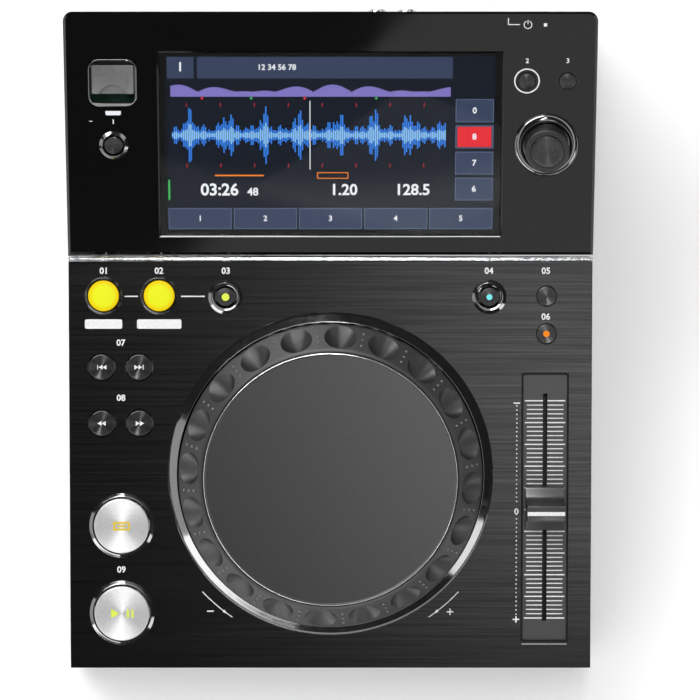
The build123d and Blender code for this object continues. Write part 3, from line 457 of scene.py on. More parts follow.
def make_finishes():
    """Mixes every finish of the player from the scene's colours."""
    colours = bpy.context.scene.player_colours
    deck = finish("deck", "brushed_deck", colours.deck, roughness=0.3, metal=1.0)
    tinted(deck, noise(deck, stretch=(16, 1400, 1400), detail=1),
           [(0.3, dimmed(colours.deck, 0.76)), (0.7, dimmed(colours.deck, 1.28))])
    varied(deck, noise(deck, stretch=(12, 1100, 1100)), 0.2, 0.23)

    gloss = finish("gloss", "gloss_moulding", colours.gloss, roughness=0.06)
    varied(gloss, noise(gloss, 22.0, detail=4), 0.04, 0.075)

    ring = finish("ring", "ring_gloss", colours.gloss, roughness=0.09, specular=1.0)
    ring.node_tree.nodes["Principled BSDF"].inputs["IOR"].default_value = 1.8
    varied(ring, noise(ring, 300.0), 0.07, 0.12)

    wheel = finish("wheel", "wheel_moulding", (0.012, 0.012, 0.013), roughness=0.48, specular=1.0)
    varied(wheel, noise(wheel, 220.0, detail=3), 0.45, 0.51)
    spun(wheel, 0.85)
    relief(wheel, noise(wheel, 1800.0), 0.04, 0.02)

    plate = finish("plate", "plate_sheet", colours.plate, roughness=0.28, metal=1.0)
    grit = noise(plate, 1900.0, detail=1)
    tinted(plate, grit, [(0.35, dimmed(colours.plate, 0.93)), (0.65, dimmed(colours.plate, 1.06))])
    relief(plate, grit, 0.03, 0.02)

    case = finish("case", "case_moulding", (0.01, 0.01, 0.011), roughness=0.5, specular=0.35)
    grain = noise(case, 1400.0)
    varied(case, grain, 0.42, 0.6)
    relief(case, grain, 0.25, 0.05)

    panel = finish("panel", "fader_sheet", (0.085, 0.085, 0.087), roughness=0.4, metal=0.8)
    lines = noise(panel, stretch=(14, 2600, 2600))
    varied(panel, lines, 0.34, 0.48)
    relief(panel, lines, 0.08, 0.02)

    silver = finish("silver", "spun_silver", colours.silver, roughness=0.5, metal=1.0)
    tinted(silver, noise(silver, 900.0, detail=1),
           [(0.3, dimmed(colours.silver, 0.9)), (0.7, colours.silver)])
    spun(silver, 0.77)

    dark = finish("dark", "spun_dark", colours.dark_metal, roughness=0.28, metal=1.0)
    tinted(dark, noise(dark, 900.0, detail=1),
           [(0.3, dimmed(colours.dark_metal, 0.8)), (0.7, dimmed(colours.dark_metal, 1.1))])
    spun(dark, 0.93)

    middle, rim = colours.loop_light, (0.95, 0.62, 0.0)
    lens = finish("loop", "loop_lens", middle, roughness=0.4, specular=0.1, glow=middle, strength=0.42)
    tinted(lens, distance_out(lens), [(0.045, dimmed(middle, 0.42)), (0.07, dimmed(rim, 0.42))])
    tinted(lens, distance_out(lens), [(0.045, middle), (0.07, rim)], "Emission Color")
    varied(lens, noise(lens, 300.0), 0.36, 0.46)

    rubber = finish("rubber", "foot_rubber", (0.012, 0.012, 0.012), roughness=0.85)
    relief(rubber, noise(rubber, 900.0), 0.3, 0.1)

    glass = finish("glass", "cover_glass", (1, 1, 1), roughness=0.0)
    pane = glass.node_tree.nodes["Principled BSDF"]
    pane.inputs["Transmission Weight"].default_value = 1.0
    pane.inputs["IOR"].default_value = 1.25
    varied(glass, noise(glass, 30.0), 0.0, 0.02)

    finish("screen", "dark_screen", (0.001, 0.0015, 0.002), specular=0.0)
    for key, name, colour, metal, specular, roughness, scale, low, high in PLAIN_FINISHES:
        plain = finish(key, name, colour, roughness, metal, specular)
        varied(plain, noise(plain, scale), low, high)
    for key, name, colour, roughness, scale, *stops in MOTTLED_FINISHES:
        mottled = finish(key, name, colour, roughness)
        tinted(mottled, noise(mottled, scale), stops)
    for name, colour in LIT_FINISHES.items():
        finish(name, name, dimmed(colour, 0.05), specular=0.0, glow=colour, strength=1.0)


def dress(material, *nodes):
    """Gives CAD nodes a finish."""
    for name in nodes:
        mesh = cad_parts[name].data
        mesh.materials.clear()
        mesh.materials.append(finishes[material])


# Prints and lit marks: flat shapes, all in millimetres on their panel


def sheet_of(name, shapes, thickness=PRINT):
    """One thin piece from boxes (x0, y0, x1, y1) and triangles (x, y, radius, the way that it points)."""
    clear()
    bpy.ops.mesh.primitive_plane_add(size=1)
    piece = made(name)
    edit(piece)
    take_all()
    bpy.ops.mesh.delete(type="VERT")
    for shape in shapes:
        if shape[3] in POINTS_TO:
            x, y, radius, way = shape
            bpy.ops.mesh.primitive_circle_add(vertices=3, radius=radius * MM, fill_type="NGON",
                                              location=(x * MM, y * MM, 0),
                                              rotation=(0, 0, radians(POINTS_TO[way])))
        else:
            x0, y0, x1, y1 = shape
            bpy.ops.mesh.primitive_plane_add(size=1, location=((x0 + x1) / 2 * MM, (y0 + y1) / 2 * MM, 0))
            bpy.ops.transform.resize(value=((x1 - x0) * MM, (y1 - y0) * MM, 1))
    bpy.ops.mesh.select_mode(type="FACE")
    take_all()
    bpy.ops.mesh.extrude_region_move(TRANSFORM_OT_translate={"value": (0, 0, thickness * MM)})
    face_out()
    return piece


def lettered(name, marks, thickness=PRINT):
    """One thin piece from digits and signs: (text, x, y, height)."""
    parts = []
    for text, x, y, height in marks:
        clear()
        bpy.ops.object.text_add(location=(x * MM, y * MM, 0))
        mark = bpy.context.object
        mark.data.body = text
        mark.data.size = height * 1.38 * MM
        mark.data.align_x = "CENTER"
        mark.data.align_y = "CENTER"
        mark.data.resolution_u = 3
        mark.data.extrude = thickness / 2 * MM
        mark.data.offset = 0.035 * height * MM
        choose(mark)
        bpy.ops.object.convert(target="MESH")
        settle()
        parts.append(bpy.context.object)
    return joined(name, *parts) if len(parts) > 1 else parts[0]


def on_circle(radius, turn, facing):
    """A place on a circle, turned to face a way."""
    return shift(cos(turn) * radius, sin(turn) * radius) @ Matrix.Rotation(facing, 4, "Z")


def outline_box(x0, y0, x1, y1, line=0.35):
    """The four thin boxes of a frame."""
    return [(x0, y0, x1, y0 + line), (x0, y1 - line, x1, y1), (x0, y0 + line, x0 + line, y1 - line),
            (x1 - line, y0 + line, x1, y1 - line)]


# Pieces


def make_case():
    """Dresses the case and what is inside it, and makes its feet and screws."""
    dress("case", "bottom_case", "upper_case", "rear_case")
    dress("connector", "rear_panel", "link_port", "ac_inlet", "tact_switches", "selector_encoder",
          "selector_plunger")
    dress("board", "control_board", "display_board", "main_board", "power_supply_board")
    dress("steel", "jog_shaft", "jog_bracket", "encoder_disc", "selector_shaft")
    dress("brass", "jog_bushing")
    dress("satin", "fader_body", "slider_carriage", "jog_sensor")
    dress("plated", "usb_socket", "usb_b_port")
    dress("chrome", "display_trim")
    dress("screen", "lcd_module")
    foot = block("foot", (24, 16), 0, 4, corner=3.0, edge=0.8, ends="both")
    feet = repeated("rubber_feet", foot, [shift(x, y) for x in (-93, 93) for y in (-125.75, 116.25)])
    seat(feet, TABLE, (0, 0), "rubber", replaces="feet")
    screw = turned("screw", [(0, 3.2), (2.7, 3.2), (3.0, 3.5), (3.0, 4.0), (0, 4.0)], 32)
    cut(screw, *[block("slot", size, 2.6, 3.7) for size in ((3.2, 0.8), (0.8, 3.2))])
    places = [shift(x, y) for x in (-112.5, 112.5) for y in (-139.75, -1.75, 130.25)]
    seat(repeated("case_screws", screw, places), TABLE, (0, 0), "steel")


def make_deck():
    """Dresses the brushed deck sheet and prints its marks."""
    dress("deck", "deck_panel")
    lines = [(-93.5, 170.4, -87.5, 170.95), (-67.9, 170.4, -57.2, 170.95)]
    seat(sheet_of("deck_lines", lines), DECK, (0, 0), "ink", height=0.01)
    for name, left, right in (("loop_in", -111.7, -94.75), ("loop_out", -88.0, -67.8)):
        box = block(f"{name}_box", (right - left, 4.3), 0, PRINT, corner=0.8)
        seat(box, DECK, ((left + right) / 2, 158.05), "ink", height=0.01)
    numbers = {
        "01": (-102.9, 182.2), "02": (-77.9, 182.2), "03": (-47.5, 182.2), "04": (72.0, 182.2),
        "05": (97.9, 182.2), "06": (97.9, 161.3), "07": (-95.4, 149.4), "08": (-95.4, 124.2),
        "09": (-95.6, 45.3), "0": (84.9, 72.0),
    }
    marks = [(text, *place, NUMBER_HEIGHT) for text, place in numbers.items()]
    seat(lettered("deck_numbers", marks), DECK, (0, 0), "ink", height=0.02)
    signs = []
    reach, half = 1.5, 0.3
    for x, y, plus in ((-55.0, 26.2, False), (54.7, 25.9, True), (84.9, 121.9, False), (84.9, 22.4, True)):
        signs.append((x - reach, y - half, x + reach, y + half))
        if plus:
            signs += [(x - half, y + half, x + half, y + reach), (x - half, y - reach, x + half, y - half)]
    seat(sheet_of("deck_signs", signs), DECK, (0, 0), "ink", height=0.02)
    rows = [FADER_AT[1] - 1.2 + 2 * i for i in range(-24, 25) if abs(i) > 1]
    dots = [(84.65, y - 0.28, 85.2, y + 0.28) for y in rows]
    seat(sheet_of("scale_dots", dots), DECK, (0, 0), "ink", height=0.01)
    turns = [radians(270 + side * (34.7 + i)) for side in (-1, 1) for i in range(13)]
    bar = block("bar", (1.45, 0.42), 0, PRINT)
    bars = repeated("bars", bar, [on_circle(ARROW_RADIUS, turn, turn + pi / 2) for turn in turns])
    clear()
    bpy.ops.mesh.primitive_cylinder_add(vertices=3, radius=1.3 * MM, depth=PRINT * MM)
    bpy.ops.transform.resize(value=(0.6, 1.5, 1))
    head = made("head")
    first, last = radians(270 - 37.2), radians(270 + 37.2)
    tips = [on_circle(ARROW_RADIUS, first, first), on_circle(ARROW_RADIUS, last, last + pi)]
    seat(joined("jog_arrows", bars, repeated("heads", head, tips)), DECK, JOG_AT, "ink", height=0.02)


def make_display_housing():
    """Dresses the glossy display housing and makes its glass, lamps and prints."""
    dress("gloss", "display_housing")
    glass = block("display_cover_glass", (153.2, 85.0), -2.6, -0.8, edge=0.15)
    seat(glass, DISPLAY, (0, 51.6), "glass", replaces="display_glass")
    # A thin white strip along the window's lower edge is a painted highlight: it stands in for the light on
    # the window's bevel.
    seat(sheet_of("painted_window_highlight", [(-76.8, 8.4, 76.8, 8.8)]), DISPLAY, (0, 0), "ink")
    seat(block("port_light", (6.9, 1.9), -3, 0.1, corner=0.9, edge=0.05), DISPLAY, (-97.3, 66.5), "lit_white")
    standby = block("standby_light", (1.4, 1.4), -3, 0.1, corner=0.2, edge=0.05)
    seat(standby, DISPLAY, (95.5, 107.1), "lit_white", replaces="indicator_lights")
    marks = [("−", -107.3, 62.6, 1.8)]
    marks += [(text, x, y, 2.2) for text, x, y in (("1", -97.3, 62.4), ("2", 87.7, 90.6), ("3", 105.8, 90.6))]
    seat(lettered("display_numbers", marks), DISPLAY, (0, 0), "ink", height=0.02)
    leader = [(78.8, 107.1, 84.1, 107.5), (78.8, 107.1, 79.2, 110.3)]
    seat(sheet_of("power_leader", leader), DISPLAY, (0, 0), "ink", height=0.01)
    ring = turned("power_mark", [(1.55, 0.01), (1.9, 0.01), (1.9, 0.04), (1.55, 0.04)], 48)
    gap = block("gap", (1.3, 2.0), -0.5, 0.5, centre=(0, 1.8))
    stroke = block("stroke", (0.35, 1.9), 0.01, 0.04, centre=(0, 1.25))
    seat(joined("power_mark", cut(ring, gap), stroke), DISPLAY, (87.7, 107.2), "ink")
    for name, place, outer, line, rise, ink in (
        ("back", BACK_AT, 5.75, 0.6, 0.03, "ink"), ("tag", TAG_AT, 4.6, 0.25, 0.25, "satin"),
    ):
        inner = outer - line
        ring = turned(f"{name}_ring", [(inner, 0), (outer, 0), (outer, rise), (inner, rise)], 64)
        seat(ring, DISPLAY, place, ink, height=0.01)


def make_screen_page():
    """Lays out a generic lit page behind the glass: bands, bars, keys and numbers."""
    left, right, low, high = -73.6, 73.6, 10.9, 92.3

    def lay(name, marks, light, lift=0.0, make=sheet_of):
        seat(make(f"page_{name}", marks, 0.02), DISPLAY, (0, 0), light, height=SCREEN_FACE + lift)

    lay("ground", [(left, low, right, high)], "lit_navy")
    step, rise = (right - left) / 5, 12.2
    keys = [(left + i * step + 0.5, low + 0.6, left + (i + 1) * step - 0.5, low + 10.4) for i in range(5)]
    keys += [(right - 17.5, 25.0 + i * rise, right - 0.5, 35.6 + i * rise) for i in range(4)]
    keys += [(left + 0.5, 81.8, left + 12.5, high - 0.6), (left + 14.0, 81.8, right - 19.0, high - 0.6)]
    lay("keys", keys, "lit_slate", 0.03)
    lay("key_edges", sum([outline_box(*key, 0.3) for key in keys[:9]], []), "lit_slate_edge", 0.06)
    waves = []
    bright = []
    wave_end, wave_middle = right - 20.5, 55.5
    for i in range(150):
        x = left + 2.5 + i * 0.82
        beat = abs(sin(i * 0.157)) ** 6
        size = 1.6 + 9.5 * abs(sin(i * 0.83) * cos(i * 0.37)) * (0.35 + 0.65 * beat) + 3.0 * beat
        if x < wave_end:
            waves.append((x, wave_middle - size, x + 0.6, wave_middle + size))
            bright.append((x, wave_middle - size * 0.42, x + 0.6, wave_middle + size * 0.42))
    lay("wave", waves, "lit_blue", 0.03)
    lay("wave_core", bright, "lit_pale_blue", 0.06)
    beats = []
    for i in range(8):
        x = left + 9.0 + i * 15.2
        beats += [(x, 40.5, x + 0.25, 42.3), (x, 68.7, x + 0.25, 70.5)]
    lay("beats", beats, "lit_red", 0.06)
    lay("cursor", [(-9.4, 39.5, -9.0, 71.5)], "lit_white", 0.09)
    hills = []
    for i in range(110):
        x = left + 2.0 + i * 1.15
        tall = 2.2 + 3.4 * abs(sin(i * 0.21 + 1.0) * cos(i * 0.05))
        if x < wave_end:
            hills.append((x, 73.4, x + 1.15, 73.4 + tall))
    lay("hills", hills, "lit_violet", 0.03)
    lay("marks", [(-58.0, 72.2, -57.0, 73.2), (-12.0, 72.2, -11.0, 73.2)], "lit_red", 0.06)
    lay("marks_green", [(-36.0, 72.2, -35.0, 73.2), (20.0, 72.2, 21.0, 73.2)], "lit_green", 0.06)
    lay("orange", outline_box(-6.0, 35.2, 8.0, 38.2) + [(-52.0, 36.4, -30.0, 37.0)], "lit_orange", 0.06)
    lay("red", [(right - 16.6, 50.0, right - 1.4, 59.4)], "lit_red", 0.045)
    lay("green", [(left + 0.5, 25.2, left + 1.3, 34.6)], "lit_green", 0.06)
    numbers = [
        ("03:26", -50.0, 29.8, 5.6), ("48", -35.0, 28.9, 3.6), ("1.20", 6.0, 29.8, 5.2),
        ("128.5", 37.0, 29.8, 5.2),
    ]
    lay("numbers", numbers, "lit_white", 0.08, lettered)
    small = [(str(i + 1), left + (i + 0.5) * step, low + 5.5, 2.6) for i in range(5)]
    small += [(str(i + 6), right - 9.0, 30.3 + i * rise, 2.8) for i in range(3)]
    small += [("0", right - 9.0, 66.9, 2.8), ("1", left + 6.5, 87.0, 4.2), ("12 34 56 78", -24.0, 86.9, 2.6)]
    lay("key_numbers", small, "lit_white", 0.1, lettered)


def make_jog_wheel():
    """Makes the jog wheel's bezel, dimpled rim and touch plate."""
    bezel = turned("wheel_bezel", [
        (69.7, 0.0), (74.2, 0.0), (74.14, 0.07), (72.8, 1.0), (71.4, 2.0), (70.1, 2.93), (70.0, 3.0),
        (69.85, 3.0), (69.75, 2.9),
    ], 256)
    seat(bezel, DECK, JOG_AT, "ring", replaces="jog_bezel", angle=40)
    rim = turned("wheel_rim", [
        (63.0, -3.0), (69.0, -3.0), (69.0, 8.3), (68.85, 8.9), (68.5, 9.45), (66.3, 12.4), (63.9, 15.55),
        (61.5, 18.7), (59.9, 20.8), (59.45, 21.3), (58.9, 21.55), (58.2, 21.6), (57.95, 21.4), (57.9, 21.0),
        (57.9, 19.05), (4.0, 19.05), (4.0, 2.5), (8.0, 2.5), (8.0, 16.5), (54.0, 16.5), (54.0, 4.0),
        (63.0, 4.0),
    ], 240)
    sizes = bpy.context.scene.player_sizes
    step = 360 / sizes.scoops
    lift = SCOOP_BALL - sizes.scoop_depth / MM
    over_face = shift(64.2 + lift * sin(RIM_SLOPE), 0, 15.3 + lift * cos(RIM_SLOPE))
    tilted = over_face @ Matrix.Rotation(RIM_SLOPE, 4, "Y")
    turns = [radians(90 - 4 - step * i) for i in range(sizes.scoops)]
    scoops = [Matrix.Rotation(turn, 4, "Z") @ tilted for turn in turns]
    cut(rim, repeated("scoops", ball("scoop", SCOOP_BALL, 40, 24), scoops))
    seat(rim, DECK, JOG_AT, "wheel", body="jog_wheel", replaces="jog_ring", angle=22)
    around(rim, DECK, JOG_AT)
    pips = []
    for i in range(sizes.scoops):
        turn = radians(90 - 13 - step * i)
        for out, up in ((66.6, 12.1), (64.2, 15.3), (61.8, 18.4)):
            pips.append(shift(cos(turn) * out, sin(turn) * out, up))
    pips = repeated("wheel_pips", ball("pip", 0.65, 12, 8), pips)
    seat(pips, DECK, JOG_AT, "grey", body="jog_wheel", angle=60)
    plate = turned("touch_sheet", [
        (0, 19.5), (57.4, 19.5), (57.4, 21.5), (57.3, 21.8), (57.0, 22.0), (56.6, 22.0), (56.3, 21.85),
        (48, 21.85), (36, 21.85), (24, 21.85), (12, 21.85), (4, 21.85), (0, 21.85),
    ], 192)
    seat(plate, DECK, JOG_AT, "plate", body="touch_plate", replaces="jog_plate", angle=12)
    edge = turned("touch_edge", [(57.3, 21.4), (57.42, 21.4), (57.42, 21.7), (57.2, 22.0), (57.0, 22.02),
                                 (57.0, 21.98), (57.15, 21.95), (57.3, 21.7)], 192)
    seat(edge, DECK, JOG_AT, "chrome", body="touch_plate", angle=60)


def key(name, radius, top, low=-1.55, board=DECK_STEM, dish=0.0, dome=0.0, segments=72):
    """A key's cap with its flange and stem; its face is dished by one depth or domed by another."""
    profile = [(0, low), (radius, low)]
    if dome:
        ball = (radius * radius + dome * dome) / (2 * dome)
        reach = asin(radius / ball)
        for i in range(7):
            turn = reach * (1 - i / 7)
            profile.append((ball * sin(turn), top - ball + ball * cos(turn)))
        profile.append((0, top))
    else:
        profile += [(radius, top - 0.45), (radius - 0.12, top - 0.15), (radius - 0.45, top)]
        for share in (0.8, 0.6, 0.4, 0.2, 0.08, 0):
            profile.append(((radius - 0.45) * share, top - dish * (1 - share * share)))
    cap = turned(name, profile, segments)
    flange = block("flange", (2 * radius + 2, 5), low - 1.2, low)
    stem = block("stem", (3.6, 3.6), board, low - 1.2)
    return joined(name, cap, flange, stem)


def sloped_ring(name, outer, inner, face=1.4):
    """A glossy ring round a key: a sloping face, a narrow lip and a sleeve through the sheet."""
    rise = bpy.context.scene.player_sizes.ring_rise / MM
    lip = outer - face
    return turned(name, [
        (inner, -1.45), (inner + 0.25, -1.45), (inner + 0.25, -0.05), (outer, 0.0),
        (outer - 0.1, 0.07 * rise), (outer - 0.5 * face, 0.5 * rise), (lip + 0.05, 0.97 * rise), (lip, rise),
        (lip - 0.06, 0.96 * rise), (lip - 0.25, 0.5 * rise), (inner + 0.2, 0.0), (inner, -0.2),
    ])


def make_keys():
    """Makes the fifteen keys with their rings, lamps and signs."""
    rings = []
    for places, form in (
        ((LOOP_IN_AT, LOOP_OUT_AT), (8.6, 7.35, 0.9)), ((RELOOP_AT, VINYL_AT), (7.8, 4.95)),
        ((CUE_AT, PLAY_AT), (14.8, 12.85)),
    ):
        rings.append(repeated("rings", sloped_ring("ring", *form), [shift(*place) for place in places]))
    rings = joined("key_rings", *rings)
    seat(rings, DECK, (0, 0), "ring", replaces="button_surrounds", angle=40)
    seat(sloped_ring("stop_ring", 6.5, 4.45), DISPLAY, STOP_AT, "ring", angle=40)

    pill = {"radius": 5.85, "top": 0.9, "dish": 0.2}
    small = {"radius": 4.5, "top": 0.6, "dish": 0.15}
    crowned = {"radius": 4.1, "top": 1.2, "dome": 0.9}
    lit = {"radius": 7.0, "top": 1.4}
    spun_face = {"radius": 12.5, "top": 2.6, "dish": 0.35, "segments": 128, "board": CUE_STEM}
    under_display = {"low": -3.05, "board": DISPLAY_STEM}
    on_housing = {"radius": 3.65, "top": 1.6, "dome": 0.9, **under_display}
    for name, panel, place, look, form in (
        ("loop_in", DECK, LOOP_IN_AT, "loop", lit),
        ("loop_out", DECK, LOOP_OUT_AT, "loop", lit),
        ("reloop", DECK, RELOOP_AT, "satin", crowned),
        ("vinyl", DECK, VINYL_AT, "satin", crowned),
        ("tempo_range", DECK, RANGE_AT, "dark", small),
        ("master_tempo", DECK, MASTER_AT, "dark", small),
        ("track_back", DECK, (BACK_COLUMN, TRACK_ROW), "dark", pill),
        ("track_forward", DECK, (FORWARD_COLUMN, TRACK_ROW), "dark", pill),
        ("search_back", DECK, (BACK_COLUMN, SEARCH_ROW), "dark", pill),
        ("search_forward", DECK, (FORWARD_COLUMN, SEARCH_ROW), "dark", pill),
        ("cue", DECK, CUE_AT, "silver", spun_face),
        ("play", DECK, PLAY_AT, "silver", spun_face),
        ("usb_stop", DISPLAY, STOP_AT, "dark", {"radius": 4.1, "top": 0.5, "dish": 0.15, **under_display}),
        ("back", DISPLAY, BACK_AT, "satin", on_housing),
        ("tag", DISPLAY, TAG_AT, "satin", on_housing),
    ):
        face = "satin" if look == "loop" else look
        piece = key(f"{name}_cap", **form)
        seat(piece, panel, place, face, body=f"{name}_key", replaces=f"{name}_button",
             angle=18)
        around(piece, panel, place)
        if look == "loop":
            lens = turned("lens", [(0, 1.1), (7.0, 1.1), (7.0, 1.4), (6.9, 1.55), (6.7, 1.6), (0, 1.6)], 72)
            seat(lens, panel, place, "loop", body=f"{name}_key", angle=50)
            around(lens, panel, place)

    for name, place, radius, top, light in (
        ("reloop", RELOOP_AT, 1.75, 1.22, "lit_lime"), ("vinyl", VINYL_AT, 1.4, 1.22, "lit_cyan"),
        ("master_tempo", MASTER_AT, 1.6, 0.5, "lit_orange"),
    ):
        low = top - 0.2
        lamp = turned(f"{name}_lamp", [(0, low), (radius, low), (radius * 0.9, top), (0, top + 0.04)], 32)
        seat(lamp, DECK, place, light, body=f"{name}_key")

    for name, place, ink, height, shapes in (
        ("track_back", (BACK_COLUMN, TRACK_ROW), "ink", 0.8,
         [(-0.2, 0, 1.25, "left"), (1.6, 0, 1.25, "left"), (-2.0, -1.1, -1.6, 1.1)]),
        ("track_forward", (FORWARD_COLUMN, TRACK_ROW), "ink", 0.8,
         [(0.2, 0, 1.25, "right"), (-1.6, 0, 1.25, "right"), (1.6, -1.1, 2.0, 1.1)]),
        ("search_back", (BACK_COLUMN, SEARCH_ROW), "ink", 0.8,
         [(-0.8, 0, 1.3, "left"), (1.1, 0, 1.3, "left")]),
        ("search_forward", (FORWARD_COLUMN, SEARCH_ROW), "ink", 0.8,
         [(0.8, 0, 1.3, "right"), (-1.1, 0, 1.3, "right")]),
        ("play", PLAY_AT, "lit_lime", 2.3,
         [(-3.7, 0, 2.5, "right"), (2.2, -1.9, 3.2, 1.9), (4.3, -1.9, 5.3, 1.9)]),
        ("cue", CUE_AT, "lit_amber", 2.3, outline_box(-3.8, -2.0, 3.8, 2.0, 0.9) + [(-1.9, -0.4, 1.9, 0.4)]),
    ):
        seat(sheet_of(f"{name}_sign", shapes), DECK, place, ink, body=f"{name}_key", height=height)

    for name, row in (("track", TRACK_ROW), ("search", SEARCH_ROW)):
        plate = block(f"{name}_surround", (33.9, 16.8), 0, 0.06, corner=8.39, steps=20)
        for x in (-8.575, 8.575):
            cut(plate, turned("hole", [(0, -1), (6.4, -1), (6.4, 1), (0, 1)], 72, centre=(x, 0)))
        seat(plate, DECK, ((BACK_COLUMN + FORWARD_COLUMN) / 2, row), "deck")


def make_fader():
    """Makes the tempo fader's scale and cap, and dresses its panel."""
    dress("panel", "slider_panel")
    ticks = []
    for i in range(-25, 26):
        reach, thick = (9.2, 0.55) if i % 5 == 0 else (8.3, 0.45)
        y = 2 * i + FADER_PRINTS - thick / 2
        ticks += [(-reach, y, -1.05, y + thick), (1.05, y, reach, y + thick)]
    seat(sheet_of("fader_scale", ticks), DECK, FADER_AT, "ink", height=-0.49)
    # A thin black frame over the gap round the inset panel is painted shade.
    outline = block("fader_gap_shade", (21.5, 123.6), 0, 0.05, corner=1.6)
    cut(outline, block("inside", (19.9, 122.0), -1, 1, corner=1.0))
    seat(outline, DECK, FADER_AT, "frame")
    # A pale strip along the lower edge of the recess is a painted highlight.
    seat(sheet_of("painted_fader_sill_highlight", [(-10.3, -63.2, 10.3, -62.7)]), DECK, FADER_AT, "grey_ink")

    clear()
    bpy.ops.mesh.primitive_plane_add(size=1, location=(0, 0, 0.5 * MM))
    bpy.context.object.scale = (17.7 * MM, 19.6 * MM, 1)
    cap = made("fader_cap")
    edit(cap)
    bpy.ops.mesh.select_mode(type="FACE")
    take_all()
    length, height = 19.6, 0.5
    for next_length, next_height in (
        (19.6, 2.5), (18.0, 2.9), (16.4, 3.3), (14.8, 3.71), (13.2, 4.13), (11.6, 4.58), (10.5, 5.1),
        (9.7, 6.0), (9.0, 7.7), (8.3, 10.2), (7.7, 12.9), (7.3, 14.4), (6.8, 15.0),
    ):
        rise = (next_height - height) * MM
        bpy.ops.mesh.extrude_region_move(TRANSFORM_OT_translate={"value": (0, -0.07 * rise, rise)})
        bpy.ops.transform.resize(value=(0.998, next_length / length, 1))
        length, height = next_length, next_height
    bpy.ops.mesh.inset(thickness=0.9 * MM)
    bpy.ops.transform.translate(value=(0, 0, -0.3 * MM))
    face_out()
    ease(cap, 0.3, 28)
    seat(cap, DECK, FADER_AT, "cap", body="tempo_slider", replaces="slider_cap", angle=40)
    line = block("fader_cap_line", (17.0, 1.8), 14.6, 14.95, edge=0.1, centre=(0, FADER_PRINTS))
    seat(line, DECK, FADER_AT, "ink", body="tempo_slider")


def make_port():
    """Makes the port's bezel and its hinged flap."""
    bezel = block("port_bezel", (21.9, 21.9), 0, 0.9, corner=5.0, edge=0.45, steps=10)
    well = block("well", (21.0, 19.5), -13, 0.05)
    bezel = joined("port_bezel", bezel, well)
    opening = block("opening", (19.4, 17.9), -12, 2, corner=1.2)
    socket = block("socket", (13.3, 5.9), -14, -11)
    cut(bezel, opening, socket)
    seat(bezel, DISPLAY, PORT_AT, "ring", replaces="usb_bezel", angle=40)

    hinge = 17.9 / 2 - 1.6
    middle = hinge + 0.8 - 13.4 / 2
    flap = block("port_flap", (19.0, 13.4), -1.1, 0.3, corner=0.8, edge=0.3, centre=(0, middle))
    low = middle - 6.7 - 2.1
    scoop = turned("scoop", [(0, -0.5), (5.9, -0.5), (6.5, 0.5), (0, 0.5)], 64, centre=(0, low))
    cut(flap, scoop)
    clear()
    bpy.ops.mesh.primitive_cylinder_add(vertices=32, radius=0.6 * MM, depth=20.2 * MM,
                                        rotation=(0, pi / 2, 0), location=(0, hinge * MM, -0.4 * MM))
    pin = made("pin")
    seat(joined("port_flap", flap, pin), DISPLAY, PORT_AT, "grey", body="port_flap", replaces="usb_flap")


def make_selector():
    """Makes the rotary selector's collar, grip and cap."""
    collar = turned("selector_collar", [
        (3.4, 0.0), (14.65, 0.0), (14.6, 0.5), (14.2, 1.1), (13.5, 1.65), (12.7, 2.05), (11.9, 2.2),
        (11.2, 2.1), (10.8, 1.7), (10.55, 0.9), (10.5, 0.3), (3.4, 0.2),
    ], 128)
    seat(collar, DISPLAY, SELECTOR_AT, "ring", angle=40)
    grip = turned("selector_grip", [
        (3.0, 1.0), (9.9, 1.0), (10.0, 1.2), (10.0, 9.5), (9.85, 10.1), (9.5, 10.4), (9.0, 10.5), (7.6, 10.5),
        (7.5, 10.2), (3.0, 10.2),
    ], 144)

    def groove(face):
        middle = face.calc_center_median()
        column = int(atan2(middle.y, middle.x) / (2 * pi) * 144 + 144)
        return abs(face.normal.z) < 0.3 and middle.xy.length > 9.8 * MM and column % 3 == 0
    edit(grip)
    pick(grip, "FACE", groove)
    bpy.ops.mesh.inset(thickness=0.05 * MM)
    bpy.ops.transform.resize(value=(0.985, 0.985, 1))
    clear()
    seat(grip, DISPLAY, SELECTOR_AT, "satin", body="selector_knob", replaces="selector_grip")
    cap = turned("selector_face", [
        (0, 10.2), (7.35, 10.2), (7.35, 10.8), (7.2, 11.05), (6.9, 11.1), (5, 11.05), (3, 11.0), (1, 10.98),
        (0, 10.98),
    ], 96)
    seat(cap, DISPLAY, SELECTOR_AT, "dark", body="selector_knob", replaces="selector_cap")
    around(cap, DISPLAY, SELECTOR_AT)


def make_phono_jacks():
    """Makes the pair of phono jacks: a dark body, plated shells and coloured rings."""
    body = block("jack_body", (28.0, 14.0), -12, 0, edge=0.3)
    seat(body, REAR, (0, 0), "connector", replaces="audio_jacks")
    shell = turned("shell", [
        (3.3, -1), (4.15, -1), (4.15, 9.6), (4.0, 9.9), (3.8, 10.0), (3.5, 10.0), (3.3, 9.8),
    ], 48)
    collar = turned("collar", [(4.2, 0), (5.4, 0), (5.4, 0.8), (5.1, 1.1), (4.2, 1.1)], 6)
    pin = turned("pin", [(0, 1), (1.5, 1), (1.5, 1.2), (0, 1.2)], 24)
    jack = joined("jack", shell, collar, pin)
    seat(repeated("jack_shells", jack, [shift(-6.8, 0), shift(6.8, 0)]), REAR, (0, 0), "plated")
    for x, look in ((-6.8, "white_ring"), (6.8, "red_ring")):
        inside = turned(look, [(1.7, 1), (3.3, 1), (3.3, 9.3), (3.1, 9.5), (1.9, 9.5), (1.7, 9.3)], 40)
        seat(inside, REAR, (x, 0), look)


def make_power_key():
    """Dresses the power key."""
    dress("satin", "power_button")


# Stage


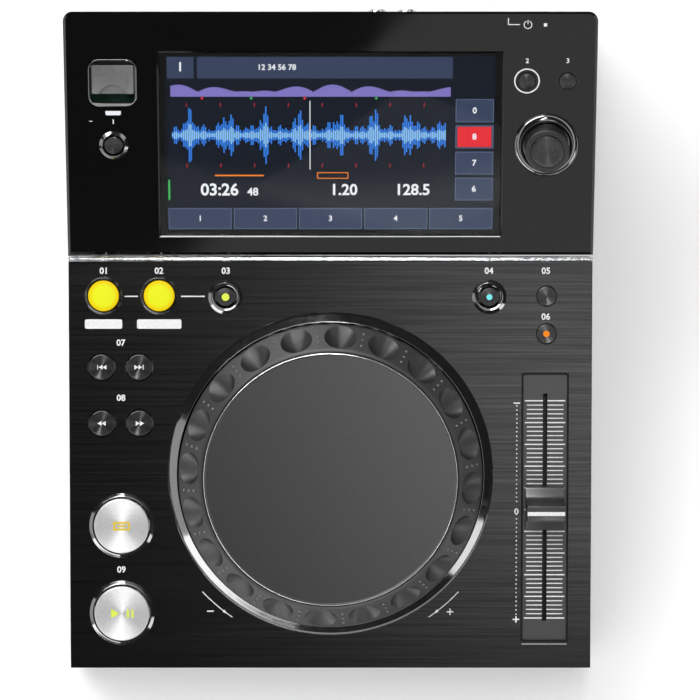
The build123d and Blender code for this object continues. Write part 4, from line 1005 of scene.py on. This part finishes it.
def soft_light(name, place, size, level, spin):
    """An area light of a given surface brightness, aimed at the player or, from overhead, straight down."""
    light = bpy.data.lights.new(name, "AREA")
    light.shape = "RECTANGLE"
    light.size, light.size_y = size
    light.energy = level * pi * size[0] * size[1]
    lamp = bpy.data.objects.new(name, light)
    bpy.context.collection.objects.link(lamp)
    lamp.visible_camera = False
    target = (place[0], place[1], 0) if place[2] == OVERHEAD else STUDIO_MIDDLE
    aim = (Vector(target) - Vector(place)).to_track_quat("-Z", "Y").to_matrix().to_4x4()
    lamp.matrix_world = Matrix.Translation(place) @ aim @ Matrix.Rotation(radians(spin), 4, "Z")


def whiten(material, share):
    """Lifts a backdrop towards white by a share, for the camera and for what is seen in gloss and glass."""
    nodes = material.node_tree.nodes
    links = material.node_tree.links
    path = nodes.new("ShaderNodeLightPath")
    total = path.outputs["Is Camera Ray"]
    for ray in ("Is Glossy Ray", "Is Transmission Ray"):
        either = nodes.new("ShaderNodeMath")
        either.operation = "MAXIMUM"
        links.new(total, either.inputs[0])
        links.new(path.outputs[ray], either.inputs[1])
        total = either.outputs[0]
    scaled = nodes.new("ShaderNodeMath")
    scaled.operation = "MULTIPLY"
    scaled.inputs[1].default_value = share
    links.new(total, scaled.inputs[0])
    shader = nodes["Principled BSDF"]
    shader.inputs["Emission Color"].default_value = (1, 1, 1, 1)
    links.new(scaled.outputs[0], shader.inputs["Emission Strength"])


def make_stage():
    """Sets the pale floor, the lights and the camera."""
    clear()
    bpy.ops.mesh.primitive_plane_add(size=8)
    floor = made("floor")
    paper = finish("paper", "floor_paper", (0.93, 0.93, 0.93), roughness=0.9, specular=0.1)
    tinted(paper, noise(paper, 3.0), [(0.3, (0.925, 0.925, 0.925)), (0.7, (0.935, 0.935, 0.935))])
    whiten(paper, 0.12)
    floor.data.materials.append(paper)

    world = bpy.data.worlds.new("studio")
    bpy.context.scene.world = world
    world.use_nodes = True
    nodes = world.node_tree.nodes
    links = world.node_tree.links
    aim = nodes.new("ShaderNodeTexCoord")
    parts = nodes.new("ShaderNodeSeparateXYZ")
    links.new(aim.outputs["Generated"], parts.inputs[0])
    walls = ramp(nodes, [(height, (level, level, level)) for height, level in WALLS])
    links.new(parts.outputs["Z"], walls.inputs["Fac"])
    links.new(walls.outputs["Color"], nodes["Background"].inputs["Color"])
    nodes["Background"].inputs["Strength"].default_value = WALL_STRENGTH
    for lamp in LAMPS:
        soft_light(*lamp)

    scene = bpy.context.scene
    scene.view_settings.view_transform = "Standard"
    camera = bpy.data.cameras.new("camera")
    camera.sensor_width = 36
    camera.lens = 3885 / 700 * 36
    camera.shift_x = 0.02786
    camera.shift_y = -0.01429
    camera.clip_end = 50
    eye = bpy.data.objects.new("camera", camera)
    eye.location = (0, -0.00155, 1.831)
    bpy.context.collection.objects.link(eye)
    scene.camera = eye


# Add-on


def colour(name, description, default):
    """A colour that a user may change."""
    return bpy.props.FloatVectorProperty(name=name, description=description, default=default, min=0, max=1,
                                         subtype="COLOR")


class PlayerColours(bpy.types.PropertyGroup):
    """Colours of the player's finishes."""

    deck: colour("Deck", "Brushed sheet of the deck", (0.042, 0.042, 0.043))
    gloss: colour("Gloss", "Polished mouldings", (0.002, 0.002, 0.0022))
    plate: colour("Touch plate", "Sheet on top of the jog wheel", (0.1, 0.1, 0.102))
    silver: colour("Silver", "Spun faces of the cue and play keys", (0.84, 0.84, 0.845))
    dark_metal: colour("Dark metal", "Spun faces of the small keys", (0.075, 0.075, 0.076))
    loop_light: colour("Loop keys", "Lit lenses of the loop keys", (0.91, 0.95, 0.02))


def length(name, description, millimetres):
    """A length that a user may change."""
    return bpy.props.FloatProperty(name=name, description=description, default=millimetres * MM, min=0,
                                   precision=5, unit="LENGTH")


class PlayerSizes(bpy.types.PropertyGroup):
    """Sizes of the player's finer forms."""

    scoops: bpy.props.IntProperty(name="Scoops", description="Scoops round the jog wheel", default=20, min=3)
    scoop_depth: length("Scoop depth", "Depth of a finger scoop", 2.7)
    ring_rise: length("Ring rise", "Height of the glossy rings round the keys", 1.0)


def operator(work):
    """An operator that runs one maker, with its name and its words."""
    def execute(self, context):
        work()
        return {"FINISHED"}
    name = work.__name__.removeprefix("make_")
    return type("PLAYER_OT_" + name, (bpy.types.Operator,), {
        "bl_idname": "player." + name, "bl_label": name.replace("_", " ").capitalize(),
        "__doc__": work.__doc__.rstrip("."), "execute": execute})


makers = [operator(work) for work in (
    make_finishes, make_case, make_deck, make_display_housing, make_screen_page, make_jog_wheel, make_keys,
    make_fader, make_port, make_selector, make_phono_jacks, make_power_key, make_stage,
)]


class PLAYER_PT_panel(bpy.types.Panel):
    """The player's pieces in the sidebar."""

    bl_label = "Player"
    bl_space_type = "VIEW_3D"
    bl_region_type = "UI"
    bl_category = "Player"

    def draw(self, context):
        for maker in makers:
            self.layout.operator(maker.bl_idname)


classes = [PlayerColours, PlayerSizes, *makers, PLAYER_PT_panel]


def register():
    """Adds the classes and the scene's colours and sizes."""
    for each in classes:
        bpy.utils.register_class(each)
    bpy.types.Scene.player_colours = bpy.props.PointerProperty(type=PlayerColours)
    bpy.types.Scene.player_sizes = bpy.props.PointerProperty(type=PlayerSizes)


def unregister():
    """Takes them away again."""
    del bpy.types.Scene.player_sizes
    del bpy.types.Scene.player_colours
    for each in reversed(classes):
        bpy.utils.unregister_class(each)


def main():
    """Runs every step in order and writes the sizes."""
    register()
    for maker in makers:
        getattr(bpy.ops.player, maker.bl_idname.split(".")[1])()
    clear()


if __name__ == "__main__":
    main()
